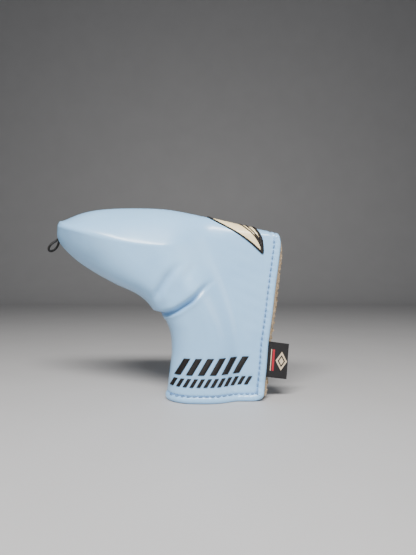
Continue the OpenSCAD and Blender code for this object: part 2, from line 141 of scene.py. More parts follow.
def right_of(points, t):
    """Unit normal to the right of the curve's direction."""
    t = np.asarray(t, float)
    d = unit(spline(points, np.minimum(t + 0.002, 1)) - spline(points, np.maximum(t - 0.002, 0)))
    return np.stack([d[..., 1], -d[..., 0]], -1)


def waves(P, size, seed, count=7):
    """Soft noise of about -1 to 1: sine waves of about one size in seeded directions, summed and
    divided by the root of their number."""
    rng = np.random.default_rng(seed)
    k = unit(rng.normal(size=(count, 3))) * (2 * np.pi / size) * rng.uniform(0.6, 1.5, (count, 1))
    phase = rng.uniform(0, 2 * np.pi, count)
    return np.sin(P @ k.T + phase).sum(-1) / np.sqrt(count)


def crowded(count, low, high, centres):
    """Numbers from low to high, closer together near each centre: equal steps of the running sum
    of 1 plus a bell at each (centre, width, weight)."""
    t = np.linspace(low, high, 2000)
    weight = np.ones_like(t)
    for centre, width, extra in centres:
        weight += extra * hill(t - centre, width)
    total = np.concatenate([[0], np.cumsum((weight[1:] + weight[:-1]) / 2)])
    return np.interp(np.linspace(0, total[-1], count), total, t)


# ---------------------------------------------------------------- the cover's surface

inner_curve = np.array([(0, 0), (2, 16), (3.7, 32), (1.7, 47), (reach * 0.09, 60.3),
                        (reach * 0.266, 69.5), (reach * 0.463, 76.3), (reach * 0.66, 84.1),
                        (reach * 0.844, 93.3), (reach * 0.974, 103.2), (reach, 109.8),
                        (reach * 0.974, 116.2)]) + [neck_x, 0]
heel_curve = np.array([(0, 2.1), (2, 20), (3.4, 37.5), (5.8, 55), (7.9, 73), (10.1, 90),
                       (11.5, 103), (10.1, 110)]) + [neck_x + neck_w, 0]
top_curve = np.array([(reach * 0.974, 116.2), (reach * 0.822, 122.4), (reach * 0.618, 125.8),
                      (reach * 0.327, 126.8), (0, 125.9), (neck_w * 0.373, 121.4),
                      (neck_w * 0.764, 115.6), (neck_w + 10.1, 110)]) + [neck_x, 0]


def arrays(*values):
    """The values as float arrays of one shape."""
    return np.broadcast_arrays(*[np.asarray(v, float) for v in values])


def toe_point(depth):
    """The toe's corner, moved inwards with depth."""
    return top_curve[0] + depth[..., None] * np.array([0.55, -0.83])


def inner_edge(b, depth):
    """Front of the neck, crook and underside of the head, moved inwards by depth and closed onto
    the toe's corner."""
    n = right_of(inner_curve, b)
    n = np.stack([n[..., 0], n[..., 1] * smooth(b * 12)], -1)
    end = spline(inner_curve, 1) + depth[..., None] * right_of(inner_curve, 1)
    return (spline(inner_curve, b) + depth[..., None] * n
            + b[..., None] ** 6 * (toe_point(depth) - end))


def top_edge(a, depth):
    """Top fold from toe to heel, moved down by depth and closed onto the toe's corner."""
    end = spline(top_curve, 0) + depth[..., None] * right_of(top_curve, 0)
    return (spline(top_curve, a) + depth[..., None] * right_of(top_curve, a)
            + (1 - a[..., None]) ** 6 * (toe_point(depth) - end))


def rim_edge(a, depth):
    """The rim: level, and turned up towards the heel corner."""
    lift = 2.1 * np.maximum(0, 1 - (1 - a) / 0.12) ** 2
    return np.stack([neck_x + neck_w * a + (1 - a) * depth * 0.992, lift], -1)


def heel_edge(b, depth):
    """The heel edge, from the rim's corner to the top corner."""
    return spline(heel_curve, b) + (b ** 4 * depth)[..., None] * right_of(top_curve, 1)


def place(a, b, depth=0.0):
    """X and Z of a point of the side view: a from the inner curve to the heel edge, b from the
    rim to the top fold. It adds the blends of both pairs of edges and takes away that of the
    four corners."""
    a, b, depth = arrays(a, b, depth)
    zero, one = np.zeros_like(a), np.ones_like(a)
    A, B = a[..., None], b[..., None]
    foot = mix(rim_edge(zero, depth), rim_edge(one, depth), A)
    crown = mix(toe_point(depth), top_edge(one, depth), A)
    return (mix(inner_edge(b, depth), heel_edge(b, depth), A)
            + mix(rim_edge(a, depth), top_edge(a, depth), B) - mix(foot, crown, B))


def roof(a):
    """Share of b that the sloped roof takes, from the ridge that starts at the toe's corner up to
    the top fold. It is widest in the middle."""
    return 0.29 - np.where(a < 0.5, 0.27 * np.maximum(1 - a / 0.5, 0) ** 2,
                           0.23 * np.maximum((a - 0.5) / 0.5, 0) ** 1.5)


def half_depth(a, b, depth=0.0):
    """Distance from the middle plane: full in the neck and the head, flat along the heel edge,
    and falling on quarters of superellipses to the toe seam and over the roof to the top
    fold."""
    crown = mix(neck_half, head_half, smooth((b - 0.12) / 0.55))
    t = np.clip((a - taper_a) / (band_a - taper_a), 0, 1)
    fade = (1 - t * t) ** mix(1.2, 1.9, t)
    heel = heel_half + rim_flare * (1 - smooth(b / 0.08))
    full = heel + (crown - heel) * fade
    keel = mix(2.2, 1.55, smooth((b - 0.45) / 0.25))
    return ((full - depth) * swell(a / 0.34, keel)
            * swell((1 - b) / roof(a), mix(1.25, 2, smooth((a - 0.45) / 0.5))))


def plain(a, b, depth, side):
    """A point of the plain cover, before folds and creases."""
    p = place(a, b, depth)
    return np.stack([p[..., 0], side * half_depth(a, b, depth), p[..., 1]], -1)


def outward(a, b, side):
    """Unit normal of the plain cover: the cross product of its steps along a and b, turned into
    the middle plane right at the toe seam and at the top fold."""
    a, b = arrays(a, b)
    e = 0.004
    a0, a1 = np.maximum(a - e, 0), np.minimum(a + e, 1)
    b0, b1 = np.maximum(b - e, 0), np.minimum(b + e, 1)
    n = unit(np.cross(plain(a1, b, 0, side) - plain(a0, b, 0, side),
                      plain(a, b1, 0, side) - plain(a, b0, 0, side)) * -side)
    zero = np.zeros_like(a)
    up = -right_of(top_curve, a)
    out = -right_of(inner_curve, b)
    n = mix(n, np.stack([up[..., 0], zero, up[..., 1]], -1), smooth((b - 0.985) / 0.015)[..., None])
    n = mix(n, np.stack([out[..., 0], zero, out[..., 1]], -1),
            smooth((0.006 - a) / 0.006)[..., None])
    return unit(n)


def per_mm(a, b, along):
    """How much of a (along 0) or of b (along 1) makes a millimetre."""
    a, b = arrays(a, b)
    e = 0.02
    if along == 0:
        return e / np.linalg.norm(place(a, b) - place(a - e, b), axis=-1)
    return e / np.linalg.norm(place(a, b + e) - place(a, b), axis=-1)


def locate(x, z, a=0.5, b=0.3):
    """Shares a and b of points of the side view, by eight steps of Newton's method."""
    x, z, a, b = arrays(x, z, a, b)
    target = np.stack([x, z], -1)
    for _ in range(8):
        q = place(a, b)
        u = (place(a + 0.01, b) - q) / 0.01
        v = (place(a, b + 0.01) - q) / 0.01
        e = target - q
        det = u[..., 0] * v[..., 1] - u[..., 1] * v[..., 0]
        a = np.clip(a + (e[..., 0] * v[..., 1] - e[..., 1] * v[..., 0]) / det, 0, 0.985)
        b = np.clip(b + (u[..., 0] * e[..., 1] - u[..., 1] * e[..., 0]) / det, 0, 0.985)
    return a, b


# ---------------------------------------------------------------- the hinge of each flap

def hinge_points(side):
    """Where a flap's fold leaves the rim and where it meets the heel edge, from the joint's own
    place and axis."""
    joint = next(j for j in frame["joints"] if j["child"] == FLAP[side])
    foot = np.array(joint["pos_m"]) / MM
    axis = unit(np.array(joint["axis"], float))
    axis = axis if axis[2] > 0 else -axis
    return foot, foot + axis * (heel_curve[-2][1] / axis[2])


hinge_foot, hinge_head = hinge_points(FRONT)
hinge_slope = (hinge_head[0] - hinge_foot[0]) / (hinge_head[2] - hinge_foot[2])
bend_w = 14.0


def bend(piece, side):
    """Bakes the piece's transform into its mesh. The hinge line's middle and a point bend_w right of
    it are worked out, but the piece is not bent.
    """
    foot, head = hinge_points(side)
    across = unit(np.array([head[2] - foot[2], 0, foot[0] - head[0]]))
    middle = (foot + head) / 2
    tuple(middle * MM)
    tuple((middle + across * bend_w) * MM)
    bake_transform(piece)
    return piece


# ---------------------------------------------------------------- folds and creases

ridge_line = [(-77, 117.5), (-68.8, 114), (-63.9, 112.3), (-54.9, 109.9), (-37.4, 105.7),
              (-24.7, 102.1), (-8, 99.8), (12, 99), (44, 98.1)]
main_crease = [(-8.5, 57.2), (-3.6, 57.2), (3.4, 59.2), (8.6, 62.3), (12.9, 65.1), (16.9, 68.7),
               (20.7, 72.8), (25.1, 76.3), (30.2, 79.5)]
second_crease = [(-9.3, 65.5), (-6.2, 71.8), (-2.8, 77.5), (0.4, 82.2), (4.6, 86.7), (9.5, 91.5)]
third_crease = [(7.5, 77), (10.5, 81.5), (14, 86), (18, 90)]


def beside(x, z, points):
    """Signed distance to a curve, positive on its left, and the share of the curve passed: both
    from the nearest of its samples."""
    t = np.linspace(0, 1, 90)
    C = spline(points, t)
    D = unit(np.gradient(C, axis=0))
    near = ((x[..., None] - C[:, 0]) ** 2 + (z[..., None] - C[:, 1]) ** 2).argmin(-1)
    dx, dz = x - C[near, 0], z - C[near, 1]
    left = D[near, 0] * dz - D[near, 1] * dx
    size = np.hypot(dx, dz)
    return np.where(left >= 0, size, -size), t[near]


def creases(x, z):
    """Height of the folds at the crook. The main one is a narrow valley with the head's bulge
    standing over it; two shallow valleys fan out above it."""
    d, t = beside(x, z, main_crease)
    fade = smooth((1 - t) / 0.45)
    step = 0.5 * (1 + np.tanh((d - 1.2) / 1.8))
    height = fade * (2.9 * step * hill(d, 10) - 2.0 * hill(d, np.where(d > 0, 2.6, 1.2))
                     + 0.35 * hill(d + 2.6, 1.6))
    d, t = beside(x, z, second_crease)
    fade = smooth(t / 0.2) * smooth((1 - t) / 0.5)
    height += fade * (-1.35 * hill(d, 2.6) + 0.5 * hill(d - 5, 3.5) + 0.6 * hill(d + 5, 3.5))
    d, t = beside(x, z, third_crease)
    fade = smooth(t / 0.4) * smooth((1 - t) / 0.5)
    return height + fade * (-0.5 * hill(d, 2.6) + 0.25 * hill(d - 4.5, 3))


def relief(a, b, side):
    """Height that folds and creases add to the plain cover: the toe's ridge, the crook's creases
    and slow waves in the padding, calm along the toe seam and the top fold."""
    P = plain(a, b, 0, side)
    x, z = P[..., 0], P[..., 2]
    d, t = beside(x, z, ridge_line)
    soft = smooth(t / 0.7)
    sharp = np.exp(-np.sqrt(d * d + mix(0.05, 4, soft)) / mix(2.4, 8, soft))
    height = mix(2.1, 1.5, soft) * sharp * smooth((1 - t) / 0.3)
    height = height + creases(x, z) * (1 if side == FRONT else 0.8)
    height = height + 0.16 * waves(P, 34, 3 + side)
    height = height + 0.1 * smooth((a - 0.72) / 0.12) * waves(P * [1, 1, 2.2], 16, 8 + side)
    return height * smooth(np.abs(P[..., 1]) / 3)


def cover(a, b, depth, side, extra=0.0):
    """A point of the finished cover at a depth below the leather's face."""
    a, b, depth = arrays(a, b, depth)
    height = relief(a, b, side) + extra
    return plain(a, b, depth, side) + outward(a, b, side) * height[..., None]


def under_crease(a, b, side):
    """Extra depth of the layers under the main crease, where the leather folds in on itself."""
    P = plain(a, b, 0, side)
    d, t = beside(P[..., 0], P[..., 2], main_crease)
    return -1.5 * hill(d, 3) * smooth((1.1 - t) / 0.4)


# ---------------------------------------------------------------- the hem's path

def hem_path(side):
    """Shares a and b along the rim from the seam to the heel corner, and up the heel edge to the
    top fold, with lengths, the shift that rounds the corner and the inward normals. The corner
    is rounded by averaging the points over a few millimetres."""
    a = np.concatenate([np.linspace(0, 1, 220), np.ones(330)])
    b = np.concatenate([np.zeros(220), np.linspace(0, 1, 331)[1:]])
    q = place(a, b)
    run = np.concatenate([[0], np.cumsum(np.linalg.norm(np.diff(q, axis=0), axis=1))])
    s = np.linspace(0, run[-1], 560)
    a, b = np.interp(s, run, a), np.interp(s, run, b)
    q = place(a, b)
    kernel = hill(np.arange(-24, 25) * (s[1] - s[0]), 2.6)
    kernel /= kernel.sum()
    padded = np.vstack([2 * q[0] - q[24:0:-1], q, 2 * q[-1] - q[-2:-26:-1]])
    soft = np.stack([np.convolve(padded[:, i], kernel, "valid") for i in (0, 1)], -1)
    soft = mix(q, soft, hill(s - neck_w, 12)[:, None])
    d = unit(np.gradient(soft, axis=0))
    table = np.column_stack([a, b, soft - q, -d[:, 1], d[:, 0], per_mm(a, b, 0), per_mm(a, b, 1)])
    return {"s": s, "table": table, "line": soft, "side": side}


def on_hem(path, s, inset, depth):
    """A point at a length s along the path, a distance inset inside the edge and a depth below
    the leather's face. Its distance from the middle plane is the cover's at that inset."""
    s, inset, depth = arrays(s, inset, depth)
    table = path["table"]
    a, b, dx, dz, nx, nz, step_a, step_b = [np.interp(s, path["s"], column)
                                            for column in table.T]
    p = place(a, b, depth)
    inner_a = np.clip(a + nx * inset * step_a, 0, 1)
    inner_b = np.where(a >= 1, b, np.clip(b + nz * inset * step_b, 0, 1))
    y = half_depth(inner_a, inner_b, depth) + relief(inner_a, inner_b, path["side"])
    return np.stack([p[..., 0] + dx + nx * inset, path["side"] * np.maximum(y, 0),
                     p[..., 1] + dz + nz * inset], -1)


hems = {side: hem_path(side) for side in (FRONT, REAR)}
hem_length = hems[FRONT]["s"][-1]


def stitch_phase(s):
    """Distance along the hem to the nearest needle hole, halfway between two stitches."""
    return np.abs((s / stitch_pitch) % 1 - 0.5) * stitch_pitch


# ---------------------------------------------------------------- meshes

def make_mesh(name, verts, quads=(), tris=(), finish=None, uv=None, values=None, sharp=50):
    """A mesh object from arrays in millimetres. uv is one pair a vertex, and values are named
    numbers a vertex. A shell whose signed volume is negative is turned outside out."""
    verts = np.asarray(verts, float).reshape(-1, 3)
    quads = np.asarray(quads, int).reshape(-1, 4)
    tris = np.asarray(tris, int).reshape(-1, 3)
    fans = np.vstack([quads[:, [0, 1, 2]], quads[:, [0, 2, 3]], tris])
    p, q, r = verts[fans[:, 0]], verts[fans[:, 1]], verts[fans[:, 2]]
    if np.einsum("ij,ij->i", p, np.cross(q, r)).sum() < 0:
        quads, tris = quads[:, ::-1], tris[:, ::-1]
    mesh = bpy.data.meshes.new(name)
    mesh.vertices.add(len(verts))
    mesh.vertices.foreach_set("co", (verts * MM).ravel())
    loops = np.concatenate([quads.ravel(), tris.ravel()])
    mesh.loops.add(len(loops))
    mesh.loops.foreach_set("vertex_index", loops)
    mesh.polygons.add(len(quads) + len(tris))
    starts = np.concatenate([np.arange(len(quads)) * 4, len(quads) * 4 + np.arange(len(tris)) * 3])
    mesh.polygons.foreach_set("loop_start", starts)
    mesh.update(calc_edges=True)
    if uv is not None:
        layer = mesh.uv_layers.new(name="cloth")
        layer.data.foreach_set("uv", np.asarray(uv, float).reshape(-1, 2)[loops].ravel())
    for key, value in (values or {}).items():
        field = mesh.attributes.new(key, "FLOAT", "POINT")
        field.data.foreach_set("value", np.asarray(value, float).ravel())
    mesh.shade_smooth()
    mesh.set_sharp_from_angle(angle=np.radians(sharp))
    obj = bpy.data.objects.new(name, mesh)
    bpy.context.scene.collection.objects.link(obj)
    if finish is not None:
        mesh.materials.append(finish)
    return obj


def grid_quads(rows, cols, wrap=False, base=0):
    """Faces of a grid of points, row by row; wrap joins the last column to the first."""
    i, j = np.meshgrid(np.arange(rows - 1), np.arange(cols if wrap else cols - 1), indexing="ij")
    k = (j + 1) % cols
    quads = np.stack([i * cols + j, i * cols + k, (i + 1) * cols + k, (i + 1) * cols + j], -1)
    return quads.reshape(-1, 4) + base


def slab_quads(rows, cols):
    """Faces of a closed slab between two grids of one size, the second grid's points after the
    first's: both faces and a strip along each edge."""
    n = rows * cols
    index = np.arange(n).reshape(rows, cols)
    ring = np.concatenate([index[0, :-1], index[:-1, -1], index[-1, :0:-1], index[:0:-1, 0]])
    after = np.roll(ring, -1)
    face = grid_quads(rows, cols)
    return np.vstack([face, face[:, ::-1] + n, np.stack([after, ring, ring + n, after + n], -1)])


def slab(name, outer, inner, finish, values=None, uv=None, sharp=50):
    """A closed slab between two grids of one size."""
    quads = slab_quads(*outer.shape[:2])
    double = {k: np.concatenate([v.ravel(), v.ravel()]) for k, v in (values or {}).items()}
    both = None if uv is None else np.concatenate([uv.reshape(-1, 2)] * 2)
    return make_mesh(name, np.concatenate([outer.reshape(-1, 3), inner.reshape(-1, 3)]), quads,
                     finish=finish, values=double, uv=both, sharp=sharp)


def rods(name, rings, finish, values=None, uv=None, sharp=60):
    """Closed rods, each a row of rings: an array of rods, stations, ring points and X, Y, Z.
    Each end is closed by a fan around its ring's middle."""
    count, stations, around = rings.shape[:3]
    size = stations * around
    quads = (grid_quads(stations, around, wrap=True)[None]
             + (np.arange(count) * size)[:, None, None]).reshape(-1, 4)
    ends = np.concatenate([rings[:, 0].mean(1), rings[:, -1].mean(1)])
    j = np.arange(around)
    k = (j + 1) % around
    offset = (np.arange(count) * size)[:, None]
    low = np.stack([np.broadcast_to(count * size + np.arange(count)[:, None], (count, around)),
                    k + offset, j + offset], -1)
    high = np.stack([np.broadcast_to(count * size + count + np.arange(count)[:, None],
                                     (count, around)),
                     j + offset + size - around, k + offset + size - around], -1)
    tris = np.concatenate([low.reshape(-1, 3), high.reshape(-1, 3)])
    verts = np.concatenate([rings.reshape(-1, 3), ends])
    if values is not None:
        values = {key: np.concatenate([v.ravel(), np.zeros(2 * count)])
                  for key, v in values.items()}
    if uv is not None:
        uv = np.concatenate([uv.reshape(-1, 2), np.zeros((2 * count, 2))])
    return make_mesh(name, verts, quads, tris, finish, uv=uv, values=values, sharp=sharp)


def sweep(line, radius, around=8, up=(0, 1, 0)):
    """Rings of a round rod along lines: an array of rods, stations and X, Y, Z. Each ring lies
    square to its line; radius may change along it."""
    d = unit(np.gradient(line, axis=1))
    side = unit(np.cross(d, np.broadcast_to(np.asarray(up, float), d.shape)))
    high = np.cross(side, d)
    angle = np.linspace(0, 2 * np.pi, around, endpoint=False)
    radius = np.broadcast_to(np.asarray(radius, float), line.shape[:2] + (around,)) \
        if np.ndim(radius) == 3 else np.broadcast_to(radius, line.shape[:2])[..., None]
    return (line[:, :, None] + side[:, :, None] * (np.cos(angle) * radius)[..., None]
            + high[:, :, None] * (np.sin(angle) * radius)[..., None])


def thread_map(along, radius, around):
    """A thread's map, in millimetres: its length and the distance round it."""
    angle = np.linspace(0, 2 * np.pi, around, endpoint=False)
    return np.stack(np.broadcast_arrays(along[..., None], angle * radius), -1)


# ---------------------------------------------------------------- finishes

class Value:
    """A shader socket that the usual operators work on: each one adds a Math node."""

    def __init__(self, finish, socket):
        self.finish, self.socket = finish, socket

    def maths(self, operation, *others):
        inputs = dict(enumerate((self,) + others))
        return self.finish.node("ShaderNodeMath", {"operation": operation}, inputs)

    def __add__(self, other):
        return self.maths("ADD", other)

    def __sub__(self, other):
        return self.maths("SUBTRACT", other)

    def __rsub__(self, other):
        return (self * -1) + other

    def __mul__(self, other):
        return self.maths("MULTIPLY", other)

    __radd__, __rmul__ = __add__, __mul__

    def ramp(self, low, high):
        """Zero at low, one at high, and an S between them."""
        return self.finish.node("ShaderNodeMapRange", {"interpolation_type": "SMOOTHSTEP"},
                                {0: self, 1: low, 2: high, 3: 0.0, 4: 1.0})

    def wave(self, turns):
        """A sine wave of the value, from 0 to 1, with so many turns a unit."""
        return (self * (2 * np.pi * turns)).maths("SINE") * 0.5 + 0.5


class Finish:
    """A material around one Principled shader. What is the same all over is set on its own
    sockets; what changes over the surface is linked."""

    def __init__(self, name, **constants):
        self.material = bpy.data.materials.new(name)
        self.material.use_nodes = True
        self.tree = self.material.node_tree
        self.shader = next(n for n in self.tree.nodes if n.type == "BSDF_PRINCIPLED")
        for key, value in constants.items():
            self.set(self.shader.inputs[key.replace("_", " ")], value)

    def set(self, socket, value):
        """Link a value to a socket, or give the socket a constant."""
        if isinstance(value, Value):
            self.tree.links.new(value.socket, socket)
        elif isinstance(value, tuple) and len(value) == 3 and socket.type == "RGBA":
            socket.default_value = value + (1.0,)
        else:
            socket.default_value = value

    def node(self, kind, settings=None, inputs=None, output=0):
        """Add a node: its settings first, then its sockets' values or links."""
        n = self.tree.nodes.new(kind)
        for key, value in (settings or {}).items():
            setattr(n, key, value)
        for key, value in (inputs or {}).items():
            self.set(n.inputs[key], value)
        return Value(self, n.outputs[output])

    def surface(self, **links):
        """Link the shader's own sockets, each named with _ for a space."""
        for key, value in links.items():
            self.set(self.shader.inputs[key.replace("_", " ")], value)

    def place(self):
        """Object coordinates, in metres."""
        return self.node("ShaderNodeTexCoord", output="Object")

    def uv(self, axis):
        """One axis of the piece's own map, in millimetres of cloth or thread."""
        both = self.node("ShaderNodeUVMap", {"uv_map": "cloth"})
        return self.node("ShaderNodeSeparateXYZ", inputs={0: both}, output=axis)

    def field(self, name):
        """A number the piece carries at each point."""
        return self.node("ShaderNodeAttribute", {"attribute_name": name}, output="Fac")

    def noise(self, size, detail=2.0, rough=0.5):
        """Noise from about 0 to 1 with features of a size in millimetres."""
        return self.node("ShaderNodeTexNoise", inputs={
            "Vector": self.place(), "Scale": 1000.0 / size, "Detail": detail,
            "Roughness": rough})

    def cells(self, size, feature="F1"):
        """Distance within rounded cells of a size in millimetres."""
        return self.node("ShaderNodeTexVoronoi", {"feature": feature}, {
            "Vector": self.place(), "Scale": 1000.0 / size})

    def blend(self, amount, first, second):
        """A colour from first at 0 to second at 1."""
        return self.node("ShaderNodeMix", {"data_type": "RGBA"},
                         {"Factor": amount, 6: first, 7: second}, output=2)

    def bump(self, height, depth):
        """Height, from 0 to 1, as bumps of a depth in millimetres."""
        self.surface(Normal=self.node("ShaderNodeBump", inputs={
            "Height": height, "Strength": 1.0, "Distance": depth * MM}))


def leather_finish(name, light, dark, rough):
    """Coated leather: a fine pebbled grain, slow shifts of tone, and painted shade: a darker colour
    where the piece's painted shade value rises, in creases and beside seams."""
    f = Finish(name, IOR=1.5, Coat_Weight=0.5, Coat_Roughness=0.2, Specular_IOR_Level=0.5)
    tone = f.noise(26, 2.0) * 0.6 + f.noise(4.5, 2.0) * 0.25
    shade = f.field("shade")
    base = f.blend(tone.ramp(0.25, 0.6), dark, light)
    # The painted shade's colour: the dark tone, squared and darkened.
    deep = tuple(c * c * 0.62 for c in dark)
    f.surface(Base_Color=f.blend(shade.ramp(0.0, 1.5), base, deep))
    grain = f.cells(0.62) * 0.65 + f.cells(0.3) * 0.2 + f.noise(0.16, 1.0) * 0.15
    f.surface(Roughness=f.noise(7, 3.0) * 0.12 + grain * 0.06 + (rough - 0.09))
    f.bump(grain, 0.022)
    return f.material


def thread_finish(name, colour, deep, gloss, pitch):
    """Twisted thread: slanted plies along the piece's own map, with painted shade between them over
    a random fibre tone.
    """
    f = Finish(name, Sheen_Weight=0.15, Sheen_Roughness=0.4, Specular_IOR_Level=0.4)
    ply = (f.uv("X") + f.uv("Y") * 0.8).wave(1 / pitch)
    fibre = f.noise(0.09, 2.0)
    f.surface(Base_Color=f.blend(ply * 0.7 + fibre * 0.3, deep, colour),
              Roughness=fibre * 0.25 + gloss)
    f.bump(ply * 0.8 + fibre * 0.2, 0.05)
    return f.material


def satin_finish(name, colour, deep):
    """Satin stitch: fine threads side by side along the piece's own map, each a round ridge, with
    painted shade between the ridges mixed with a random tone.
    """
    f = Finish(name, Sheen_Weight=0.04, Sheen_Roughness=0.35, Specular_IOR_Level=0.25)
    lay = f.uv("Y").wave(1 / 0.36)
    fibre = f.noise(0.12, 2.0)
    tone = f.noise(1.6, 2.0)
    f.surface(Base_Color=f.blend(lay * 0.5 + tone * 0.5, deep, colour),
              Roughness=fibre * 0.2 + lay * -0.12 + 0.42)
    f.bump(lay * 0.85 + fibre * 0.15, 0.07)
    return f.material


def fleece_finish(name, light, dark):
    """Curly pile: small soft lumps with painted shade in the hollows between, and the sheen of fine
    hair.
    """
    f = Finish(name, Sheen_Weight=0.5, Sheen_Roughness=0.6, Specular_IOR_Level=0.15)
    curl = f.noise(1.1, 4.0, 0.65)
    hair = f.noise(0.22, 3.0, 0.7)
    tone = curl * 0.65 + hair * 0.35
    f.surface(Base_Color=f.blend(tone.ramp(0.3, 0.68), dark, light),
              Roughness=hair * 0.08 + 0.88)
    f.bump(tone, 0.5)
    return f.material


def foam_finish(name, light, dark):
    """Open-cell foam: pores of two sizes, with painted shade in the pores."""
    f = Finish(name, Specular_IOR_Level=0.2)
    pores = f.cells(0.5) * 0.6 + f.cells(0.21) * 0.4
    f.surface(Base_Color=f.blend(pores.ramp(0.05, 0.5), dark, light),
              Roughness=pores * 0.08 + 0.88)
    f.bump(pores, 0.12)
    return f.material


def metal_finish(name, light, dark):
    """Plated metal with fine turning marks and dull patches."""
    f = Finish(name, Metallic=1.0)
    patch = f.noise(2.2, 4.0)
    scratch = f.noise(0.12, 2.0)
    f.surface(Base_Color=f.blend(patch.ramp(0.35, 0.7), dark, light),
              Roughness=patch * 0.2 + scratch * 0.1 + 0.14)
    f.bump(scratch, 0.006)
    return f.material


def cloth_finish(name, base, across, along, pitch, extra=None):
    """Woven cloth: two sets of threads along the piece's own map, over and under each other, with
    the base colour as painted shade between them. extra gives masks and their colours from the map,
    laid over the weave and fainter where the painted shade between the threads shows."""
    f = Finish(name, Sheen_Weight=0.15, Sheen_Roughness=0.4, Specular_IOR_Level=0.3)
    u, v = f.uv("X"), f.uv("Y")
    warp, weft = u.wave(1 / pitch), v.wave(1 / pitch)
    over = (u * (np.pi / pitch)).maths("SINE") * (v * (np.pi / pitch)).maths("SINE")
    over = over.ramp(-0.3, 0.3)
    weave = warp * over + weft * (1 - over)
    colour = f.blend(over, across, along)
    colour = f.blend(weave.ramp(0.0, 0.7), base, colour)
    for mask, tint in (extra(u, v) if extra else []):
        colour = f.blend(mask * (weave * 0.35 + 0.65), colour, tint)
    fibre = f.noise(0.1, 2.0)
    f.surface(Base_Color=colour, Roughness=fibre * 0.2 + 0.55)
    f.bump(weave * 0.85 + fibre * 0.15, 0.06)
    return f.material


def cord_finish(name, colour, deep):
    """Braided cord: fine fibres over the braid that the mesh already has, and painted shade in the
    hollows of their slanted lay, mixed with a random fibre tone.
    """
    f = Finish(name, Sheen_Weight=0.2, Sheen_Roughness=0.4, Specular_IOR_Level=0.4)
    fibre = f.noise(0.12, 3.0)
    lay = (f.uv("X") + f.uv("Y")).wave(1 / 0.2)
    f.surface(Base_Color=f.blend(fibre * 0.6 + lay * 0.4, deep, colour),
              Roughness=fibre * 0.2 + 0.5)
    f.bump(lay * 0.6 + fibre * 0.4, 0.03)
    return f.material


def label_figure(u, v):
    """The label's ground: a thin cream line, a red stripe beside it, and a plain cream diamond."""
    span = 1 - (v - 11.6).maths("ABSOLUTE").ramp(7.0, 7.2)
    line = (1 - (u - 1.75).maths("ABSOLUTE").ramp(0.2, 0.34)) * span
    stripe = (1 - (u - 3.3).maths("ABSOLUTE").ramp(0.62, 0.78)) * span
    away = (u - 8.9).maths("ABSOLUTE") * 1.55 + (v - 11.6).maths("ABSOLUTE")
    diamond = 1 - away.ramp(6.1, 6.4)
    hollow = (1 - away.ramp(4.0, 4.3)) * away.ramp(2.4, 2.7)
    cream, red = (0.80, 0.66, 0.47), (0.50, 0.02, 0.04)
    return [(line, cream), (stripe, red), (diamond * (1 - hollow), cream)]


label_h = 23.5
blue_leather = leather_finish("blue_leather", (0.335, 0.615, 0.93), (0.305, 0.58, 0.91), 0.36)
cream_leather = leather_finish("cream_leather", (0.97, 0.82, 0.50), (0.92, 0.76, 0.44), 0.5)
# The fleece's and the foam's second colours are painted shade in their hollows and pores.
fleece = fleece_finish("tan_fleece", (0.56, 0.42, 0.27), (0.25, 0.17, 0.095))
foam = foam_finish("grey_foam", (0.34, 0.34, 0.35), (0.16, 0.16, 0.17))
# Each thread, satin and cord finish's second colour is painted shade between its plies or threads,
# mixed with random tone.
blue_thread = thread_finish("blue_thread", (0.22, 0.37, 0.62), (0.09, 0.19, 0.38), 0.42, 0.5)
black_satin = satin_finish("black_satin", (0.014, 0.010, 0.009), (0.003, 0.002, 0.002))
black_thread = thread_finish("black_thread", (0.028, 0.024, 0.024), (0.008, 0.007, 0.007), 0.45,
                             0.3)
black_cord = cord_finish("black_cord", (0.013, 0.012, 0.012), (0.004, 0.004, 0.004))
nickel = metal_finish("nickel", (0.62, 0.59, 0.55), (0.45, 0.43, 0.40))
# A cloth's first colour is its painted shade between the threads.
white_tape = cloth_finish("white_tape", (0.42, 0.42, 0.40), (0.70, 0.69, 0.66),
                          (0.66, 0.65, 0.62), 0.9)
label_cloth = cloth_finish("label_cloth", (0.006, 0.006, 0.007), (0.022, 0.021, 0.023),
                           (0.017, 0.016, 0.018), 0.34, label_figure)


# ---------------------------------------------------------------- camera, lights and floor

